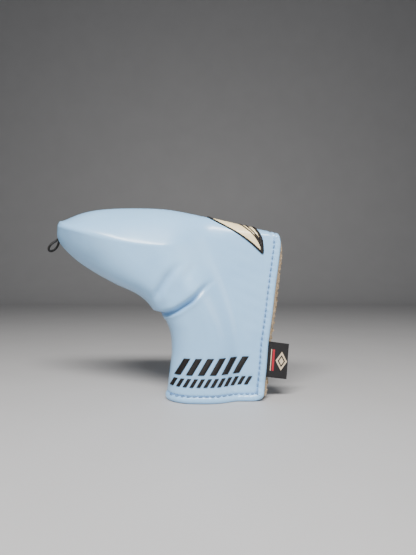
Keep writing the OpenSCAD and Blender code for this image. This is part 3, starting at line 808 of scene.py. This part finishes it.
def studio():
    """Camera, three soft panels, a pale floor that curves up into a backdrop, and a pale sky."""
    scene = bpy.context.scene
    lens = bpy.data.cameras.new("camera")
    lens.lens, lens.sensor_width = 26.0, 36.0
    lens.clip_start, lens.clip_end = 0.01, 20
    camera = bpy.data.objects.new("camera", lens)
    camera.location = (0.02385, -0.2697, 0.0804)
    camera.rotation_euler = (np.pi / 2, 0, 0)
    scene.collection.objects.link(camera)
    scene.camera = camera
    panels = (("key", (-0.02, -0.40, 0.52), (0.0, 0.0, 0.09), 0.44, 0.10, 8.0, (1.0, 0.97, 0.93)),
              ("fill", (-0.66, -0.50, 0.26), (0, 0, 0.07), 0.4, 0.5, 0.6, (0.93, 0.96, 1.0)),
              ("side", (0.62, -0.42, 0.22), (0, 0, 0.06), 0.35, 0.5, 1.7, (1.0, 0.98, 0.95)))
    for name, spot, aim, width, height, power, tint in panels:
        light = bpy.data.lights.new(name, "AREA")
        light.shape, light.size, light.size_y = "RECTANGLE", width, height
        light.energy, light.color = power, tint
        panel = bpy.data.objects.new(name, light)
        panel.location = spot
        towards = unit(np.array(aim) - np.array(spot))
        panel.rotation_euler = (np.arccos(-towards[2]), 0, np.arctan2(-towards[0], towards[1]))
        scene.collection.objects.link(panel)
    world = bpy.data.worlds.new("sky")
    world.use_nodes = True
    world.node_tree.nodes["Background"].inputs[0].default_value = (0.86, 0.89, 0.93, 1)
    world.node_tree.nodes["Background"].inputs[1].default_value = 0.13
    scene.world = world
    # The floor runs back, turns up on a quarter circle and ends as a wall.
    turn = np.linspace(0, np.pi / 2, 15)
    profile = np.concatenate([[(-1400, 0)], np.stack([900 + 400 * np.sin(turn),
                                                       400 - 400 * np.cos(turn)], -1),
                              [(1300, 1800)]])
    xs = np.array([-2200.0, 2200.0])
    verts = np.stack([np.broadcast_to(xs, (len(profile), 2)),
                      np.broadcast_to(profile[:, :1], (len(profile), 2)),
                      np.broadcast_to(profile[:, 1:], (len(profile), 2))], -1)
    f = Finish("pale_floor", Specular_IOR_Level=0.3)
    f.surface(Base_Color=f.blend(f.noise(60, 2.0), (0.46, 0.46, 0.47), (0.50, 0.50, 0.51)),
              Roughness=f.noise(20, 2.0) * 0.1 + 0.5)
    make_mesh("floor", verts, grid_quads(len(profile), 2), finish=f.material)


studio()


# ---------------------------------------------------------------- the hang loop

# The route lies in its own tilted plane: how far out from the toe and how far across.
loop_root = np.array([-76.6, 0, 105.6])
loop_out = np.array([-0.633, 0, -0.774])
loop_across = np.array([0.232, 0.954, -0.19])
loop_route = [(-8, 0.9), (-5, 0.9), (-2.2, 0.95), (0, 1.1), (1.8, 1.9), (3.6, 2.9), (5.6, 3.4),
              (7.6, 3), (9, 1.7), (9.5, 0), (9, -1.7), (7.6, -3), (5.6, -3.4), (3.6, -2.9),
              (1.8, -1.9), (0, -1.1), (-2.2, -0.95), (-5, -0.9), (-8, -0.9)]
loop_d = 1.6


def hang_loop():
    """A round braid swept along the loop's route: its radius rises where two sets of strands,
    winding left and right, cross over."""
    flat = spline(loop_route, np.linspace(0, 1, 401))
    run = np.concatenate([[0], np.cumsum(np.linalg.norm(np.diff(flat, axis=0), axis=1))])
    even = np.linspace(0, run[-1], 301)
    u, v = np.interp(even, run, flat[:, 0]), np.interp(even, run, flat[:, 1])
    line = loop_root + u[:, None] * loop_out + v[:, None] * loop_across
    angle = np.linspace(0, 2 * np.pi, 18, endpoint=False)
    turn = 2 * np.pi * even[:, None] / 1.9
    braid = np.cos(3 * (angle - turn)) * np.cos(3 * (angle + turn))
    radius = loop_d / 2 - 0.06 + 0.08 * np.abs(braid)
    rings = sweep(line[None], radius[None], 18, np.cross(loop_out, loop_across))
    uv = thread_map(even, loop_d / 2, 18)
    loop = rods("hang_loop_cord", rings, black_cord, uv=uv)
    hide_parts("hang_loop")
    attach(loop, "cover_body")


hang_loop()


# ---------------------------------------------------------------- the leather

def edge_place(x, z):
    """Distance inside the hem's edge in the side view, and the length along it: from the nearest
    sample of the path, then square to the path there."""
    path = hems[FRONT]
    line, s = path["line"][::4], path["s"][::4]
    D = unit(np.gradient(line, axis=0))
    near = ((x[..., None] - line[:, 0]) ** 2 + (z[..., None] - line[:, 1]) ** 2).argmin(-1)
    dx, dz = x - line[near, 0], z - line[near, 1]
    return np.abs(D[near, 0] * dz - D[near, 1] * dx), s[near] + D[near, 0] * dx + D[near, 1] * dz


def seam_relief(x, z):
    """Height beside the stitches: a channel along the stitch line, deeper at each needle hole, with
    a low roll inside it. Also a painted shade value for the channel, rising with its depth and at
    each needle hole."""
    d, s = edge_place(x, z)
    hole = hill(stitch_phase(s), 0.55)
    inside = smooth((s + 2) / 2)
    channel = hill(d - stitch_line, 0.62)
    height = -(0.5 + 0.25 * hole) * channel + 0.15 * hill(d - stitch_line - 1.9, 1.3)
    height = height - 0.12 * hole * hill(d - stitch_line - 1.3, 0.9)
    return height * inside, channel * (0.1 + 0.3 * hole) * inside


# The two rows of slanted bars beside the hinge line: pitch, width, lowest and highest Z, and the
# first and the last bar, counted from the hinge line.
motif_rows = [(7.6, 4.2, 18.2, 28.8, -2, 3), (4.4, 2.4, 10.6, 16.0, -3, 8)]


def motif_press(x, z):
    """How far the leather is pulled down by the bars: fully under one, and fading around it
    with small puckers at the ends."""
    slant = x - hinge_foot[0] - hinge_slope * z
    press = np.zeros_like(x)
    for pitch, width, low, high, first, last in motif_rows:
        u = slant / pitch
        away = np.abs(u - np.clip(np.round(u - 0.5), first, last) - 0.5) * pitch - width / 2
        ends = np.maximum(low - z, z - high)
        d = np.where((away > 0) & (ends > 0), np.hypot(np.maximum(away, 0), np.maximum(ends, 0)),
                     np.maximum(away, ends))
        press = np.maximum(press, 1 - smooth((d + 0.1) / 1.5))
    return press


def leather_half(side):
    """One half of the cover: a slab over shares a and b, its face the finished cover with the
    seam channel, the puckers under the thread bars and a lip along the toe seam."""
    t = 1 - (1 - crowded(250, 0, 1, [(0.3, 0.06, 1.6), (0.0, 0.03, 1.5)])) ** 1.5
    u = crowded(176, 0, 1, [(0.96, 0.06, 1.6)]) ** 1.6
    # Straight along the rim and the heel edge, 3.3 mm inside them.
    inset = 3.3
    B, A = np.meshgrid(t, u, indexing="ij")
    low = inset * per_mm(A, np.zeros_like(A), 1)
    b = low + (1 - low) * B
    a = A * (1 - inset * per_mm(np.ones_like(b), b, 0))
    P = plain(a, b, 0, side)
    x, y, z = P[..., 0], P[..., 1], P[..., 2]
    # extra is height; channel is the painted shade of the stitch channel and its needle holes.
    extra, channel = seam_relief(x, z)
    press = motif_press(x, z) if side == FRONT else np.zeros_like(x)
    extra = extra - 0.3 * press + 0.05 * press * (1 - press) * 4 * waves(P, 2.2, 21)
    below = np.abs(y)
    lip = hill(below - 1.5, 0.9) * smooth((0.2 - a) / 0.1)
    extra = extra + 0.28 * lip * smooth((0.985 - b) / 0.03)
    P = cover(a, b, 0.0, side, extra)
    deep = cover(a, b, leather_in, side, extra * 0.6)
    # Both halves meet in the middle plane along the toe seam and the top fold.
    for Q in (P, deep):
        Q[:, 0, 1] = 0
        Q[-1, :, 1] = 0
    # Painted shade: a darker colour in the main and second creases, in the stitch channel and its
    # needle holes, beside the toe seam and around the thread bars.
    d, along = beside(x, z, main_crease)
    crease_shade = hill(d + 0.2, 2.0) * smooth((1 - along) / 0.5)
    d2, along2 = beside(x, z, second_crease)
    crease_shade = crease_shade * 0.8 + 0.3 * hill(d2, 2.6) * smooth(along2 / 0.2) * smooth((1 - along2) / 0.5)
    seam = hill(below, 1.1) * smooth((0.1 - a) / 0.05) * smooth((0.985 - b) / 0.03)
    shade = np.clip(crease_shade + channel * 0.55 + 0.5 * seam + press * 0.35, 0, 1.2)
    piece = slab(f"{SIDE_NAME[side]}_leather", P, deep, blue_leather, {"shade": shade})
    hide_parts("outer_leather", f"{FLAP[side]}_leather")
    bend(piece, side)


for side in (FRONT, REAR):
    leather_half(side)


# ---------------------------------------------------------------- the hem and its stitches

# The hem's section, once round: distance inside the edge and depth below the leather's face.
hem_section = np.array([(4.75, 1.1), (4.55, 0.25), (4.15, -0.25), (3.4, -0.62), (2.4, -0.74),
                        (1.3, -0.5), (0.5, 0.08), (0.06, 0.9), (0.0, 1.9), (0.06, 2.9),
                        (0.5, 3.75), (1.4, 4.25), (2.6, 4.3), (3.7, 4.0), (4.5, 3.2),
                        (4.8, 2.1)])


def hem(side):
    """The turned edge: a rounded section carried along the rim, round the corner, up the heel
    edge and to the top fold. It is drawn in a little at each needle hole and swells between."""
    path = hems[side]
    s = np.linspace(0, hem_length, 520)
    t = np.linspace(0, 1, 31)[:-1]
    loop = spline(np.vstack([hem_section, hem_section[:1]]), t)
    S, inset = np.meshgrid(s, loop[:, 0], indexing="ij")
    depth = np.broadcast_to(loop[:, 1], S.shape).copy()
    hole = hill(stitch_phase(S), 0.7)
    inner = smooth((inset - 1.6) / 2.4)
    face = smooth((1.6 - depth) / 1.2)
    depth = depth + 0.22 * hole * inner * face
    depth = depth - 0.07 * waves(np.stack([S, S * 0, S * 0], -1), 11, 31 + side) * face
    inset = inset + 0.10 * waves(np.stack([S, S * 0, S * 0], -1), 16, 35 + side) * inner * face
    P = on_hem(path, S, inset, depth)
    # On the rim the roll stays above the floor; at the top fold both halves meet.
    P[..., 2] = np.maximum(P[..., 2], 0.02)
    P[-1, :, 1] = 0
    # Painted shade: darker where the roll turns in against the leather's face, and at each needle
    # hole.
    shade = np.clip(0.3 * smooth((inset - 4.0) / 0.7) * face + 0.2 * hole * inner * face, 0, 1)
    piece = rods(f"{SIDE_NAME[side]}_hem", P[None], blue_leather,
                 {"shade": shade[None]}, sharp=70)
    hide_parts("body_hem", f"{FLAP[side]}_hem")
    bend(piece, side)


def stitch_row(side):
    """Hem stitches: each a short thread bowed along the path, rising over the channel and going
    down into a needle hole at both ends."""
    path = hems[side]
    middle = (np.arange(int(hem_length / stitch_pitch) - 1) + 1) * stitch_pitch
    t = np.linspace(-1, 1, 11)
    S = middle[:, None] + t * stitch_len / 2
    depth = np.broadcast_to(-0.22 + 1.2 * np.abs(t) ** 3.5, S.shape)
    inset = np.broadcast_to(stitch_line - 0.05, S.shape)
    line = on_hem(path, S, inset, depth)
    radius = np.broadcast_to(thread_r * (1 - 0.35 * np.abs(t) ** 3), S.shape)
    uv = thread_map(S, thread_r, 8)
    piece = rods(f"{SIDE_NAME[side]}_hem_stitches", sweep(line, radius, 8), blue_thread, uv=uv)
    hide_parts("body_hem_stitches", f"{FLAP[side]}_stitches")
    bend(piece, side)


for side in (FRONT, REAR):
    hem(side)
    stitch_row(side)


# ---------------------------------------------------------------- pads and fleece

def grid_of_layer(rows, cols, edge):
    """Shares a and b over the cover, held a distance inside the rim and the heel edge."""
    B, A = np.meshgrid(1 - (1 - np.linspace(0, 1, rows)) ** 1.5, np.linspace(0, 1, cols) ** 1.6,
                       indexing="ij")
    low = edge * per_mm(A, np.zeros_like(A), 1)
    b = low + (1 - low) * B
    a = A * (1 - edge * per_mm(np.ones_like(b), b, 0))
    return a, b


def foam_pad(side):
    """The pad between leather and lining, sunk under the main crease."""
    a, b = grid_of_layer(80, 64, 4.9)
    sunk = under_crease(a, b, side)
    outer, inner = cover(a, b, foam_out, side, sunk), cover(a, b, foam_in, side, sunk)
    piece = slab(f"{SIDE_NAME[side]}_foam_pad", outer, inner, foam)
    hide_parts(f"{SIDE_NAME[side]}_foam", f"{FLAP[side]}_foam")
    bend(piece, side)


def fleece_half(side):
    """The lining: a slab with a lumpy pile on its inner face, standing out past the heel edge."""
    reach_out = fleece_reach[side]
    B, A = np.meshgrid(1 - (1 - np.linspace(0, 1, 210)) ** 1.4,
                       crowded(120, 0, 1, [(1, 0.06, 3)]) ** 1.5, indexing="ij")
    b = 0.006 + 0.994 * B
    a = A
    P = plain(a, b, fleece_out, side)
    ragged = waves(np.stack([P[..., 2], 0 * b, 0 * b], -1), 3.2, 41 + side) * 0.35 \
        + waves(np.stack([P[..., 2], 0 * b, 0 * b], -1), 1.3, 43 + side) * 0.25
    out = (reach_out + ragged) * smooth((A - 0.86) / 0.14) * smooth((0.985 - b) / 0.05)
    lumps = waves(P, 2.6, 51 + side, 12) * 0.22 + waves(P, 1.4, 53 + side, 12) * 0.16
    sunk = under_crease(a, b, side)
    outer = cover(a, b, fleece_out, side, sunk)
    inner = cover(a, b, fleece_in + 0.15, side, sunk + lumps)
    # The pile's edge is rounded: its middle stands out furthest.
    for Q, share in ((outer, 0.72), (inner, 0.9)):
        Q[..., 0] += out * share
        Q[..., 1] = side * np.maximum(side * Q[..., 1], 0.15)
        Q[:, 0, 1] = side * 0.02
        Q[-1, :, 1] = side * 0.02
    piece = slab(f"{SIDE_NAME[side]}_fleece", outer, inner, fleece, sharp=80)
    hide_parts(f"{SIDE_NAME[side]}_lining", f"{FLAP[side]}_lining")
    bend(piece, side)


def curls(side):
    """Loose curls of pile along the heel edge and the rim: short bowed tufts, seeded."""
    rng = np.random.default_rng(71 + side)
    path = hems[side]
    count = 760
    s = np.concatenate([rng.uniform(neck_w + 2, hem_length - 9, 620),
                        rng.uniform(3, neck_w, 140)])
    edge = s > neck_w
    depth = rng.uniform(fleece_out + 0.1, fleece_in + 0.2, count)
    inset = np.where(edge, -rng.uniform(0.2, 1.0, count) * (fleece_reach[side] - 0.2), 0.5)
    root = on_hem(path, s, np.where(edge, inset + 0.4, 0.8), depth)
    lean = on_hem(path, s, inset - np.where(edge, 0.5, -0.1), depth)
    way = unit(unit(lean - root) * 1.0 + rng.normal(size=(count, 3)) * 0.75)
    size = rng.uniform(0.5, 1.05, count)
    t = np.linspace(0, 1, 6)
    turn = unit(np.cross(way, rng.normal(size=(count, 3))))
    bow = np.sin(t * np.pi * 0.9)
    line = (root[:, None] + way[:, None] * (t[None, :, None] * size[:, None, None])
            + turn[:, None] * (bow[None, :, None] * size[:, None, None] * 0.45))
    line[..., 2] = np.maximum(line[..., 2], 0.35)
    line[..., 1] = side * np.maximum(side * line[..., 1], 0.3)
    radius = 0.27 * size[:, None] * (1 - 0.65 * t ** 2)
    piece = rods(f"{SIDE_NAME[side]}_fleece_curls", sweep(line, radius, 5), fleece, sharp=90)
    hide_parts(f"{SIDE_NAME[side]}_lining", f"{FLAP[side]}_lining")
    bend(piece, side)


for side in (FRONT, REAR):
    foam_pad(side)
    fleece_half(side)
    curls(side)


# ---------------------------------------------------------------- toe seam

seam_thread_r = 0.24


def seam_threads():
    """Small threads across the toe seam, each bowed over the joint line between the halves."""
    b = np.linspace(0.03, 0.975, 46)
    t = np.linspace(-1, 1, 9)
    Bs, T = np.meshgrid(b, t, indexing="ij")
    y = T * 1.15
    n = -right_of(inner_curve, Bs)
    p = place(0 * Bs, Bs)
    lift = 0.12 - 0.75 * np.abs(T) ** 3
    line = np.stack([p[..., 0] + n[..., 0] * lift, y, p[..., 1] + n[..., 1] * lift], -1)
    radius = np.full(line.shape[:2], seam_thread_r)
    uv = thread_map(y, seam_thread_r, 7)
    piece = rods("toe_seam_stitches", sweep(line, radius, 7, up=(0.3, 0, 1)), blue_thread, uv=uv)
    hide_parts("toe_seam_thread")
    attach(piece, "cover_body")


seam_threads()


# ---------------------------------------------------------------- the leaf patch

# Shares a of its two corners on the top fold, a and b of its tip, and its width on the fold in
# millimetres.
leaf_left, leaf_right = 0.735, 0.91
leaf_tip = (0.931, 0.753)
leaf_w = 27.0


def leaf(s, t):
    """Shares a and b on the leaf: s across it, t from the top fold to the tip. Both long sides
    bow outwards."""
    left = leaf_left + (leaf_tip[0] - leaf_left) * t
    left_b = 1 + (leaf_tip[1] - 1) * t + 0.03 * t * (1 - t)
    right = leaf_right + (leaf_tip[0] - leaf_right) * t + 0.02 * t * (1 - t)
    right_b = 1 + (leaf_tip[1] - 1) * t
    return left + (right - left) * s, left_b + (right_b - left_b) * s


def leaf_mm(w, t):
    """Share of the leaf's width that makes w millimetres at t."""
    return w / np.maximum(1.2, leaf_w * (1 - t))


def over_fold(s_of, t_end, heights, rows, cols):
    """Points of a strip of the leaf, from its front end over the top fold to its rear end.
    s_of gives the strip's two sides at t; heights is a function of the shares across and
    along."""
    u = np.linspace(0, 1, cols)
    t = t_end * np.linspace(0, 1, rows) ** 1.25
    T, U = np.meshgrid(t, u, indexing="ij")
    first, last = s_of(T)
    a, b = leaf(first + (last - first) * U, T)
    halves = [cover(a, b, 0, side, heights(U, T, side)) for side in (FRONT, REAR)]
    P = np.concatenate([halves[0][::-1], halves[1][1:]])
    step = np.linalg.norm(np.diff(P[:, cols // 2], axis=0), axis=-1)
    run = np.concatenate([[0], np.cumsum(step)])
    width = np.linalg.norm(P[:, -1] - P[:, 0], axis=-1)
    uv = np.stack([U[0][None] * width[:, None], np.broadcast_to(run[:, None], P.shape[:2])], -1)
    return P, uv


def leaf_strip(name, s_of, t_end, top, bottom, finish, node, rows=240, cols=10, dome=0.0,
               fray=0.0):
    """A closed strip over the fold: its top face domed across, its edges wavering by fray."""
    def sides(T):
        first, last = s_of(T)
        sway = fray * np.sin(T * 260) * 0.5 + fray * np.sin(T * 97 + 1)
        return first - leaf_mm(sway, T), last + leaf_mm(sway * 0.8, T)

    def upper(U, T, side):
        return top + dome * (np.sqrt(np.maximum(0, 1 - (2 * U - 1) ** 2)) - 1)

    def lower(U, T, side):
        return bottom + 0 * U

    P, uv = over_fold(sides, t_end, upper, rows, cols)
    Q, _ = over_fold(sides, t_end, lower, rows, cols)
    piece = slab(name, P, Q, finish, values={"shade": np.zeros(P.shape[:2])}, uv=uv, sharp=55)
    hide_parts(node)
    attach(piece, "cover_body")


leaf_strip("leaf_patch", lambda T: (0 * T, 0 * T + 1), 0.97, 0.45, -0.1, cream_leather,
           "applique_patch", cols=24)
for name, s_of, t_end in (
        ("leaf_border_left", lambda T: (-leaf_mm(0.5, T), leaf_mm(1.6, T)), 0.985),
        ("leaf_border_right", lambda T: (1 - leaf_mm(1.3, T), 1 + leaf_mm(0.6, T)), 0.985)):
    leaf_strip(name, s_of, t_end, 0.95, -0.05, black_satin, "applique_border",
               dome=0.45, fray=0.05)
for name, start, slope, width, t_end in (("leaf_stripe_long", 0.665, 0.09, 1.35, 0.82),
                                         ("leaf_stripe_short", 0.80, 0.02, 1.15, 0.72)):
    leaf_strip(name, lambda T, p=start, q=slope, w=width: (p + q * T, p + q * T + leaf_mm(w, T)),
               t_end, 0.9, 0.3, black_satin, "applique_stripes", dome=0.35,
               fray=0.04, cols=8)


# ---------------------------------------------------------------- the thread bars

def motif():
    """Slanted bars of satin stitch in two rows: each a closed block over shares found from its
    corners in the side view, domed across, its threads lying across it."""
    blocks_top, blocks_low, maps = [], [], []
    rows, cols = 64, 9
    for pitch, width, low, high, first, last in motif_rows:
        z = np.linspace(low, high, rows)
        e = np.linspace(-0.5, 0.5, cols)
        k = np.arange(first, last + 1)
        K, Z, E = np.meshgrid(k, z, e, indexing="ij")
        thread = np.sin(2 * np.pi * Z / 0.36)
        sway = 0.035 * np.sin(Z * 9.1 + K) + 0.03 * thread * np.sign(E)
        X = (hinge_foot[0] + hinge_slope * Z + (K + 0.5) * pitch + E * width
             + sway * np.abs(E) * 2)
        a, b = locate(X, Z, 0.4, 0.2)
        end = np.minimum(Z - low, high - Z)
        dome = np.sqrt(np.clip(1 - (2 * E) ** 2, 0, 1)) * smooth(end / 0.5) ** 0.5
        top = 0.06 + 0.5 * dome + 0.02 * thread * dome
        blocks_top.append(cover(a, b, 0, FRONT, top))
        blocks_low.append(cover(a, b, 0, FRONT, -0.45))
        maps.append(np.stack([E * width, Z / np.cos(np.arctan(hinge_slope))], -1))
    top, bottom = np.concatenate(blocks_top), np.concatenate(blocks_low)
    count = len(top)
    n = rows * cols
    quads = (slab_quads(rows, cols)[None] + (np.arange(count) * 2 * n)[:, None, None]).reshape(-1, 4)
    verts = np.stack([top.reshape(count, n, 3), bottom.reshape(count, n, 3)], 1).reshape(-1, 3)
    flat = np.concatenate(maps).reshape(count, n, 2)
    uv = np.stack([flat, flat], 1).reshape(-1, 2)
    piece = make_mesh("thread_bars", verts, quads, finish=black_satin, uv=uv, sharp=50)
    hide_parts("neck_motif", "front_flap_motif")
    bend(piece, FRONT)


motif()


# ---------------------------------------------------------------- magnets and their tapes

# A disc's diameter and thickness, its middle's distance inside the heel edge, and the heights.
magnet_d, magnet_t, magnet_in = 9.0, 2.0, 9.9
magnet_rows = np.array([19.0, 42.0, 65.0])


def heel_edge_x(z):
    """X of the heel edge at a height."""
    C = spline(heel_curve, np.linspace(0, 1, 400))
    return np.interp(z, C[:, 1], C[:, 0])


def turned(profile, centres, side, around=40):
    """Discs on Y: each ring is a circle of the profile's radius at its depth."""
    angle = np.linspace(0, 2 * np.pi, around, endpoint=False)
    ring = np.stack([np.cos(angle), np.zeros(around), np.sin(angle)], -1)
    return (centres[:, None, None] + ring * profile[:, 0][:, None, None]
            + np.array([0, -side, 0]) * profile[:, 1][:, None, None])


def magnets(side):
    """Three plated discs, chamfered all round, with a shallow dish in each face."""
    # Midway through the foam.
    outer_face = heel_half - foam_out - (foam_in - foam_out - magnet_t) / 2
    centres = np.stack([heel_edge_x(magnet_rows) - magnet_in, np.full(3, side * outer_face),
                        magnet_rows], -1)
    r, t = magnet_d / 2, magnet_t
    profile = np.array([(r * 0.3, 0.06), (r - 1.1, 0.06), (r - 0.8, 0), (r - 0.3, 0),
                        (r - 0.08, 0.08), (r, 0.3), (r, t - 0.3), (r - 0.08, t - 0.08),
                        (r - 0.3, t), (r - 0.8, t), (r - 1.1, t - 0.06), (r * 0.3, t - 0.06)])
    piece = rods(f"{SIDE_NAME[side]}_magnet_discs", turned(profile, centres, side), nickel,
                 sharp=35)
    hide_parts(f"{SIDE_NAME[side]}_magnets")
    bend(piece, side)


def tape(side):
    """A woven tape behind the magnets: a thin slab whose selvedges waver a little."""
    z = np.linspace(magnet_rows[0] - 6, magnet_rows[2] + 6, 90)
    e = np.linspace(-1, 1, 14)
    Z, E = np.meshgrid(z, e, indexing="ij")
    half = magnet_d / 2 + 0.5 + 0.06 * np.sin(Z * 6.98)
    X = heel_edge_x(Z) - magnet_in + E * half
    a, b = locate(X, Z, 0.85, 0.3)
    uv = np.stack([E * half, Z], -1)
    piece = slab(f"{SIDE_NAME[side]}_tape", cover(a, b, tape_out, side),
                 cover(a, b, tape_in, side), white_tape, uv=uv)
    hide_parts(f"{SIDE_NAME[side]}_magnet_tape")
    bend(piece, side)


for side in (FRONT, REAR):
    magnets(side)
    tape(side)


# ---------------------------------------------------------------- the woven label

def label():
    """A strip of woven cloth folded in half and sewn in at the heel: its line in plan runs out,
    turns on a small half circle and comes back, and it bows slightly along its reach. A row of
    six stitches holds it."""
    joint = next(j for j in frame["joints"] if j["child"] == "label")
    root = np.array(joint["pos_m"]) / MM
    axis = unit(np.array(joint["axis"], float))
    axis = axis if axis[2] > 0 else -axis
    high = box_mm("woven_label")[1]
    out = unit(np.array([axis[2], 0, -axis[0]]))
    leaf_gap, thick = 0.32, 0.34
    reach_mm = (high[0] - root[0]) - 0.8
    v = np.linspace(0, label_h, 72)
    # One leaf's line, the turn and the other leaf's line.
    straight = np.linspace(-0.7, reach_mm - leaf_gap, 44)
    bend_angle = np.linspace(-np.pi / 2, np.pi / 2, 9)[1:-1]
    line = np.concatenate([
        np.stack([straight, np.full(44, -leaf_gap)], -1),
        np.stack([reach_mm - leaf_gap + leaf_gap * np.cos(bend_angle),
                  leaf_gap * np.sin(bend_angle)], -1),
        np.stack([straight[::-1], np.full(44, leaf_gap)], -1)])
    n = unit(np.gradient(line, axis=0))
    n = np.stack([n[:, 1], -n[:, 0]], -1)
    run = np.concatenate([[0], np.cumsum(np.linalg.norm(np.diff(line, axis=0), axis=1))]) - 0.7
    V, U = np.meshgrid(v, np.arange(len(line)), indexing="ij")

    def cloth(off):
        q = line + n * off
        reach_part = q[U, 0]
        bow = 0.045 * np.maximum(reach_part, 0) ** 1.6 \
            + 0.10 * np.sin(V / label_h * 5.2 + reach_part * 0.3) * smooth(reach_part / 4)
        droop = 0.09 * np.maximum(reach_part, 0)
        return (root + out * reach_part[..., None]
                + np.array([0, 1, 0]) * (q[U, 1] + bow)[..., None]
                + axis * (V - label_h / 2 - droop)[..., None])

    uv = np.stack([run[U], V], -1)
    piece = slab("woven_tag", cloth(thick / 2), cloth(-thick / 2), label_cloth, uv=uv, sharp=60)
    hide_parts("woven_label")
    tuple((root + out * 2.5) * MM)
    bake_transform(piece)
    stitch_r = 0.22
    t = np.linspace(-1, 1, 9)
    middle = np.array([-2.5, -1.5, -0.5, 0.5, 1.5, 2.5]) * label_h / 6.5
    at_v = middle[:, None] + t * label_h / 26 * 1.15
    away = np.broadcast_to(-leaf_gap - thick / 2 - 0.12 + 0.55 * np.abs(t) ** 4, at_v.shape)
    line3 = root + out * 1.0 + axis * at_v[..., None] + np.array([0, 1, 0]) * away[..., None]
    radius = np.broadcast_to(stitch_r * (1 - 0.3 * np.abs(t) ** 3), at_v.shape)
    uv = thread_map(at_v, stitch_r, 7)
    piece = rods("tag_stitches", sweep(line3, radius, 7), black_thread, uv=uv)
    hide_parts("label_stitches")
    tuple((root + out * 2.5) * MM)
    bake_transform(piece)


label()
